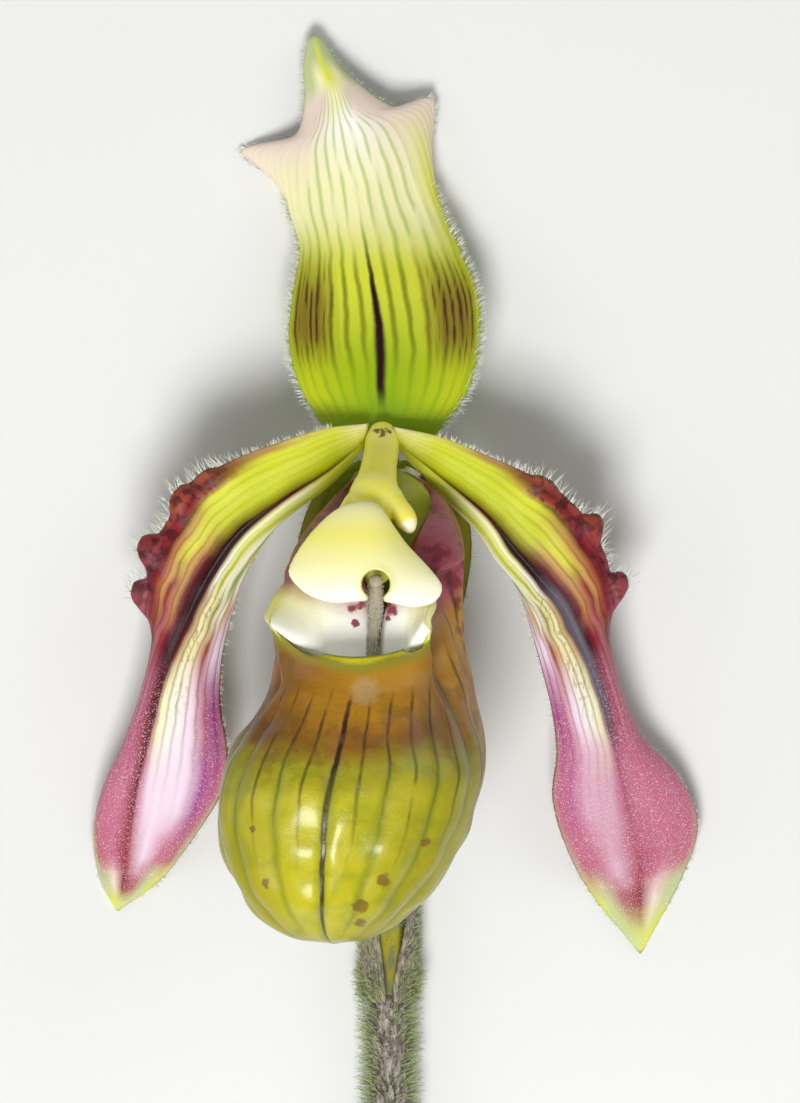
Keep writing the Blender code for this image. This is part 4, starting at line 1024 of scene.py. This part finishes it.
def grow_hairs(name, slot, material, coat, radius, curl):
    """A coat of hairs: their roots in the flower's millimetres, directions and lengths."""
    roots, directions, lengths = coat
    above = roots[:, 2] + directions[:, 2] * lengths > 0.08
    roots, directions, lengths = roots[above], unit(directions[above]), lengths[above]
    body = hair_shape()
    shape = np.array([vertex.co for vertex in body.verts])
    wanted = len(shape) * len(roots)
    while len(body.verts) < wanted:
        bmesh.ops.duplicate(body, geom=body.verts[:] + body.edges[:] + body.faces[:])
    body.verts.ensure_lookup_table()
    bmesh.ops.delete(body, geom=body.verts[wanted:], context="VERTS")
    aside = unit(np.cross(directions, RANDOM.normal(size=directions.shape)))
    over = np.cross(directions, aside)
    rise = (shape[:, 2] + 0.5)[None, :, None]
    bent = curl * (lengths * RANDOM.uniform(0.3, 1.0, len(roots)))[:, None, None] * rise ** 2
    points = (roots[:, None] + directions[:, None] * lengths[:, None, None] * rise
              + radius * (aside[:, None] * shape[None, :, :1] + over[:, None] * shape[None, :, 1:2])
              + bent * aside[:, None])
    points[..., 2] = np.maximum(points[..., 2], 0.02)
    for vertex, place in zip(body.verts, in_world(points.reshape(-1, 3))):
        vertex.co = place
    piece(name, body, material, slot)


def margin_hairs(points, normals, edge, from_u, to_u, per_mm, length):
    """Hairs along a blade's margin, spread evenly; length is a number or a function of the place."""
    inward = 2 if edge == 0 else -3
    margin = points[:, edge]
    run = np.concatenate(([0.0], np.cumsum(np.linalg.norm(np.diff(margin, axis=0), axis=1))))
    start, end = np.interp([from_u, to_u], np.linspace(0, 1, len(margin)), run)
    count = int((end - start) * per_mm)
    at = np.interp(RANDOM.uniform(start, end, count), run, np.arange(len(margin)))
    low = np.minimum(at.astype(int), len(margin) - 2)
    share = (at - low)[:, None]

    def between(values):
        return values[low] * (1 - share) + values[low + 1] * share

    out = between(unit(margin - points[:, inward], 1e-6))
    forward = between(unit(np.gradient(margin, axis=0), 1e-6))
    directions = (out + forward * RANDOM.normal(0.1, 0.25, (count, 1))
                  + between(normals[:, inward]) * RANDOM.normal(0.05, 0.45, (count, 1)))
    length = length(at / (len(margin) - 1)) if callable(length) else length
    return between(margin) - 0.1 * out, directions, length * RANDOM.uniform(0.6, 1.15, count)


def face_hairs(points, normals, count, low_v, high_v, from_u, to_u, length, lean):
    """Hairs scattered over a part of a sheet, standing square to it with a lean."""
    rows, columns = points.shape[0] - 1, points.shape[1] - 1
    u = (RANDOM.uniform(from_u, to_u, count) * rows).astype(int)
    v = (RANDOM.uniform(low_v, high_v, count) * columns).astype(int)
    directions = normals[u, v] + np.array(lean) + RANDOM.normal(0, 0.25, (count, 3))
    along = points[np.minimum(u + 1, rows), v] - points[u, v]
    roots = points[u, v] + normals[u, v] * 0.3 + along * RANDOM.uniform(0, 1, (count, 1))
    return roots, directions, length * RANDOM.uniform(0.6, 1.15, count)


def coat_of(sheet, margins=(), faces=()):
    """The hairs of a sheet's margins and faces, from rows of what margin_hairs and face_hairs take."""
    sets = [margin_hairs(*sheet, *row) for row in margins]
    sets += [face_hairs(*sheet, *row) for row in faces]
    return [np.concatenate(parts) for parts in zip(*sets)]


def grow_fringes(blades, pale):
    """The fringes of the petals and sepals, longer on the petals' lobes."""
    for name, lobes in (("petal_left", LOBES_LEFT), ("petal_right", LOBES_RIGHT)):

        def on_lobes(u):
            return 0.65 + 1.0 * np.minimum(sum(bump_at(u, place, 0.05) for place, _ in lobes), 1.0)

        coat = coat_of(blades[name], (
            (0, 0.06, 0.5, 7.0, on_lobes), (0, 0.5, 0.97, 4.0, 0.45),
            (-1, 0.08, 0.5, 4.5, 0.8), (-1, 0.5, 0.97, 4.5, 0.55)))
        grow_hairs(name + "_hairs", "petal", pale, coat, 0.055, 0.25)
    coat = coat_of(blades["dorsal_sepal"], ((0, 0.5, 0.98, 12.0, 0.75), (-1, 0.5, 0.98, 12.0, 0.75)),
                   ((1500, 0.02, 0.24, 0.03, 0.52, 0.95, (-0.3, 0.3, 0.0)),
                    (1500, 0.76, 0.98, 0.03, 0.52, 0.95, (0.3, 0.3, 0.0))))
    grow_hairs("dorsal_sepal_hairs", "dorsal_sepal", pale, coat, 0.05, 0.3)
    coat = coat_of(blades["synsepalum"], ((0, 0.05, 0.7, 5.0, 0.9), (-1, 0.05, 0.7, 5.0, 0.9)))
    grow_hairs("synsepalum_hairs", "synsepalum", pale, coat, 0.045, 0.3)


def tube_hairs(path, count, low, high, length, lean):
    """Hairs all round a round body, standing out from it and leaning along it."""
    places = np.sort(RANDOM.uniform(low, high, count))
    turns = RANDOM.uniform(0, 2 * np.pi, count)[:, None]
    spine = smooth_through(path, places)
    samples = smooth_through(path, np.linspace(0, 1, 200))
    nearest = (places * (len(samples) - 1)).astype(int)
    aside, up = (sides[nearest] for sides in sides_of(samples[:, :3]))
    outwards = np.cos(turns) * aside + np.sin(turns) * up
    roots = spine[:, :3] + outwards * spine[:, 3:] * 0.97
    directions = outwards + np.array(lean) + RANDOM.normal(0, 0.22, (count, 3))
    return roots, directions, length * RANDOM.uniform(0.55, 1.1, count)


def grow_coats(stem_path, sheath, fair):
    """The coats of the stem, the ovary and the sheath."""
    coat = tube_hairs(stem_path, 5600, 0.01, 0.995, 1.75, (0.0, 0.3, 0.0))
    grow_hairs("stem_hairs", "stem", fair, coat, 0.07, 0.25)
    coat = tube_hairs(OVARY_PATH, 1500, 0.12, 0.8, 0.7, (0.0, 0.6, 0.0))
    grow_hairs("ovary_hairs", "ovary", fair, coat, 0.04, 0.2)
    coat = coat_of(sheath, faces=((2600, 0.02, 0.98, 0.02, 0.95, 0.7, (0.0, 0.9, 0.0)),
                                  (700, 0.02, 0.98, 0.0, 0.16, 1.1, (0.0, 0.3, 0.0))))
    grow_hairs("bract_hairs", "bract", fair, coat, 0.05, 0.2)


# Scene


def make_floor():
    """A plain pale studio floor."""
    body = bmesh.new()
    bmesh.ops.create_grid(body, x_segments=1, y_segments=1, size=FLOOR_HALF_SIZE)
    floor = in_scene("floor", body)
    floor.data.materials.append(start_material("studio_floor", 0.8, Base_Color=FLOOR_COLOUR)[0])
    floor.location.z = -0.05 * MM


def make_lights():
    """Soft boxes: a key high towards the stem's side, one on each side, and a pale room."""
    for name, place, size, power in LIGHTS:
        light = bpy.data.lights.new(name, "AREA")
        light.size, light.energy = size, power
        lamp = bpy.data.objects.new(name, light)
        lamp.location = place
        lamp.rotation_euler = (-Vector(place)).to_track_quat("-Z", "Y").to_euler()
        bpy.context.scene.collection.objects.link(lamp)
    world = bpy.data.worlds.new("room")
    bpy.context.scene.world = world
    world.use_nodes = True
    background = world.node_tree.nodes["Background"]
    background.inputs["Color"].default_value = ROOM_COLOUR
    background.inputs["Strength"].default_value = ROOM_STRENGTH
    bpy.context.scene.view_settings.view_transform = "Standard"


def make_camera():
    camera = bpy.data.cameras.new("camera")
    camera.sensor_width = SENSOR
    camera.lens = SENSOR * (CAMERA_RISE - FLOWER_LEVEL) / (PHOTO_HEIGHT * PIXEL)
    camera.clip_start = 0.01
    eye = bpy.data.objects.new("camera", camera)
    eye.location = (CENTRE[0] + (PHOTO_MIDDLE[0] - CENTRE_PIXEL[0]) * PIXEL,
                    CENTRE[1] + (CENTRE_PIXEL[1] - PHOTO_MIDDLE[1]) * PIXEL, CAMERA_RISE)
    bpy.context.scene.collection.objects.link(eye)
    bpy.context.scene.camera = eye


def build():
    make_camera()
    make_lights()
    make_floor()
    materials = {
        "petal": petal_skin(), "dorsal_sepal": sepal_skin(), "synsepalum": green_sepal_skin(),
        "pouch": pouch_skin(), "shield": wax("waxy_shield", paint_shield),
        "column": wax("waxy_column", paint_column),
        "ovary": hairy_skin("hairy_ovary", "pouch_olive", "stem_green", 0.8),
        "bract": hairy_skin("hairy_sheath", "sheath_grey", "stem_purple", 0.3),
        "stem": hairy_skin("hairy_stem", "stone", "stem_purple", 0.5),
        "seam": hairy_skin("fuzzy_seam", "stone", "mouse_grey", 0.3),
    }
    pale, fair = hair_matter("pale_hair", "hair_white"), hair_matter("fair_hair", "hair_green")
    blades = grow_blades(materials)
    grow_lip(materials)
    grow_column(materials)
    grow_staminode(materials)
    grow_ovary(materials)
    stem_path = grow_stem(materials)
    sheath = grow_bract(materials)
    grow_seam(materials, pale)
    grow_fringes(blades, pale)
    grow_coats(stem_path, sheath, fair)


build()
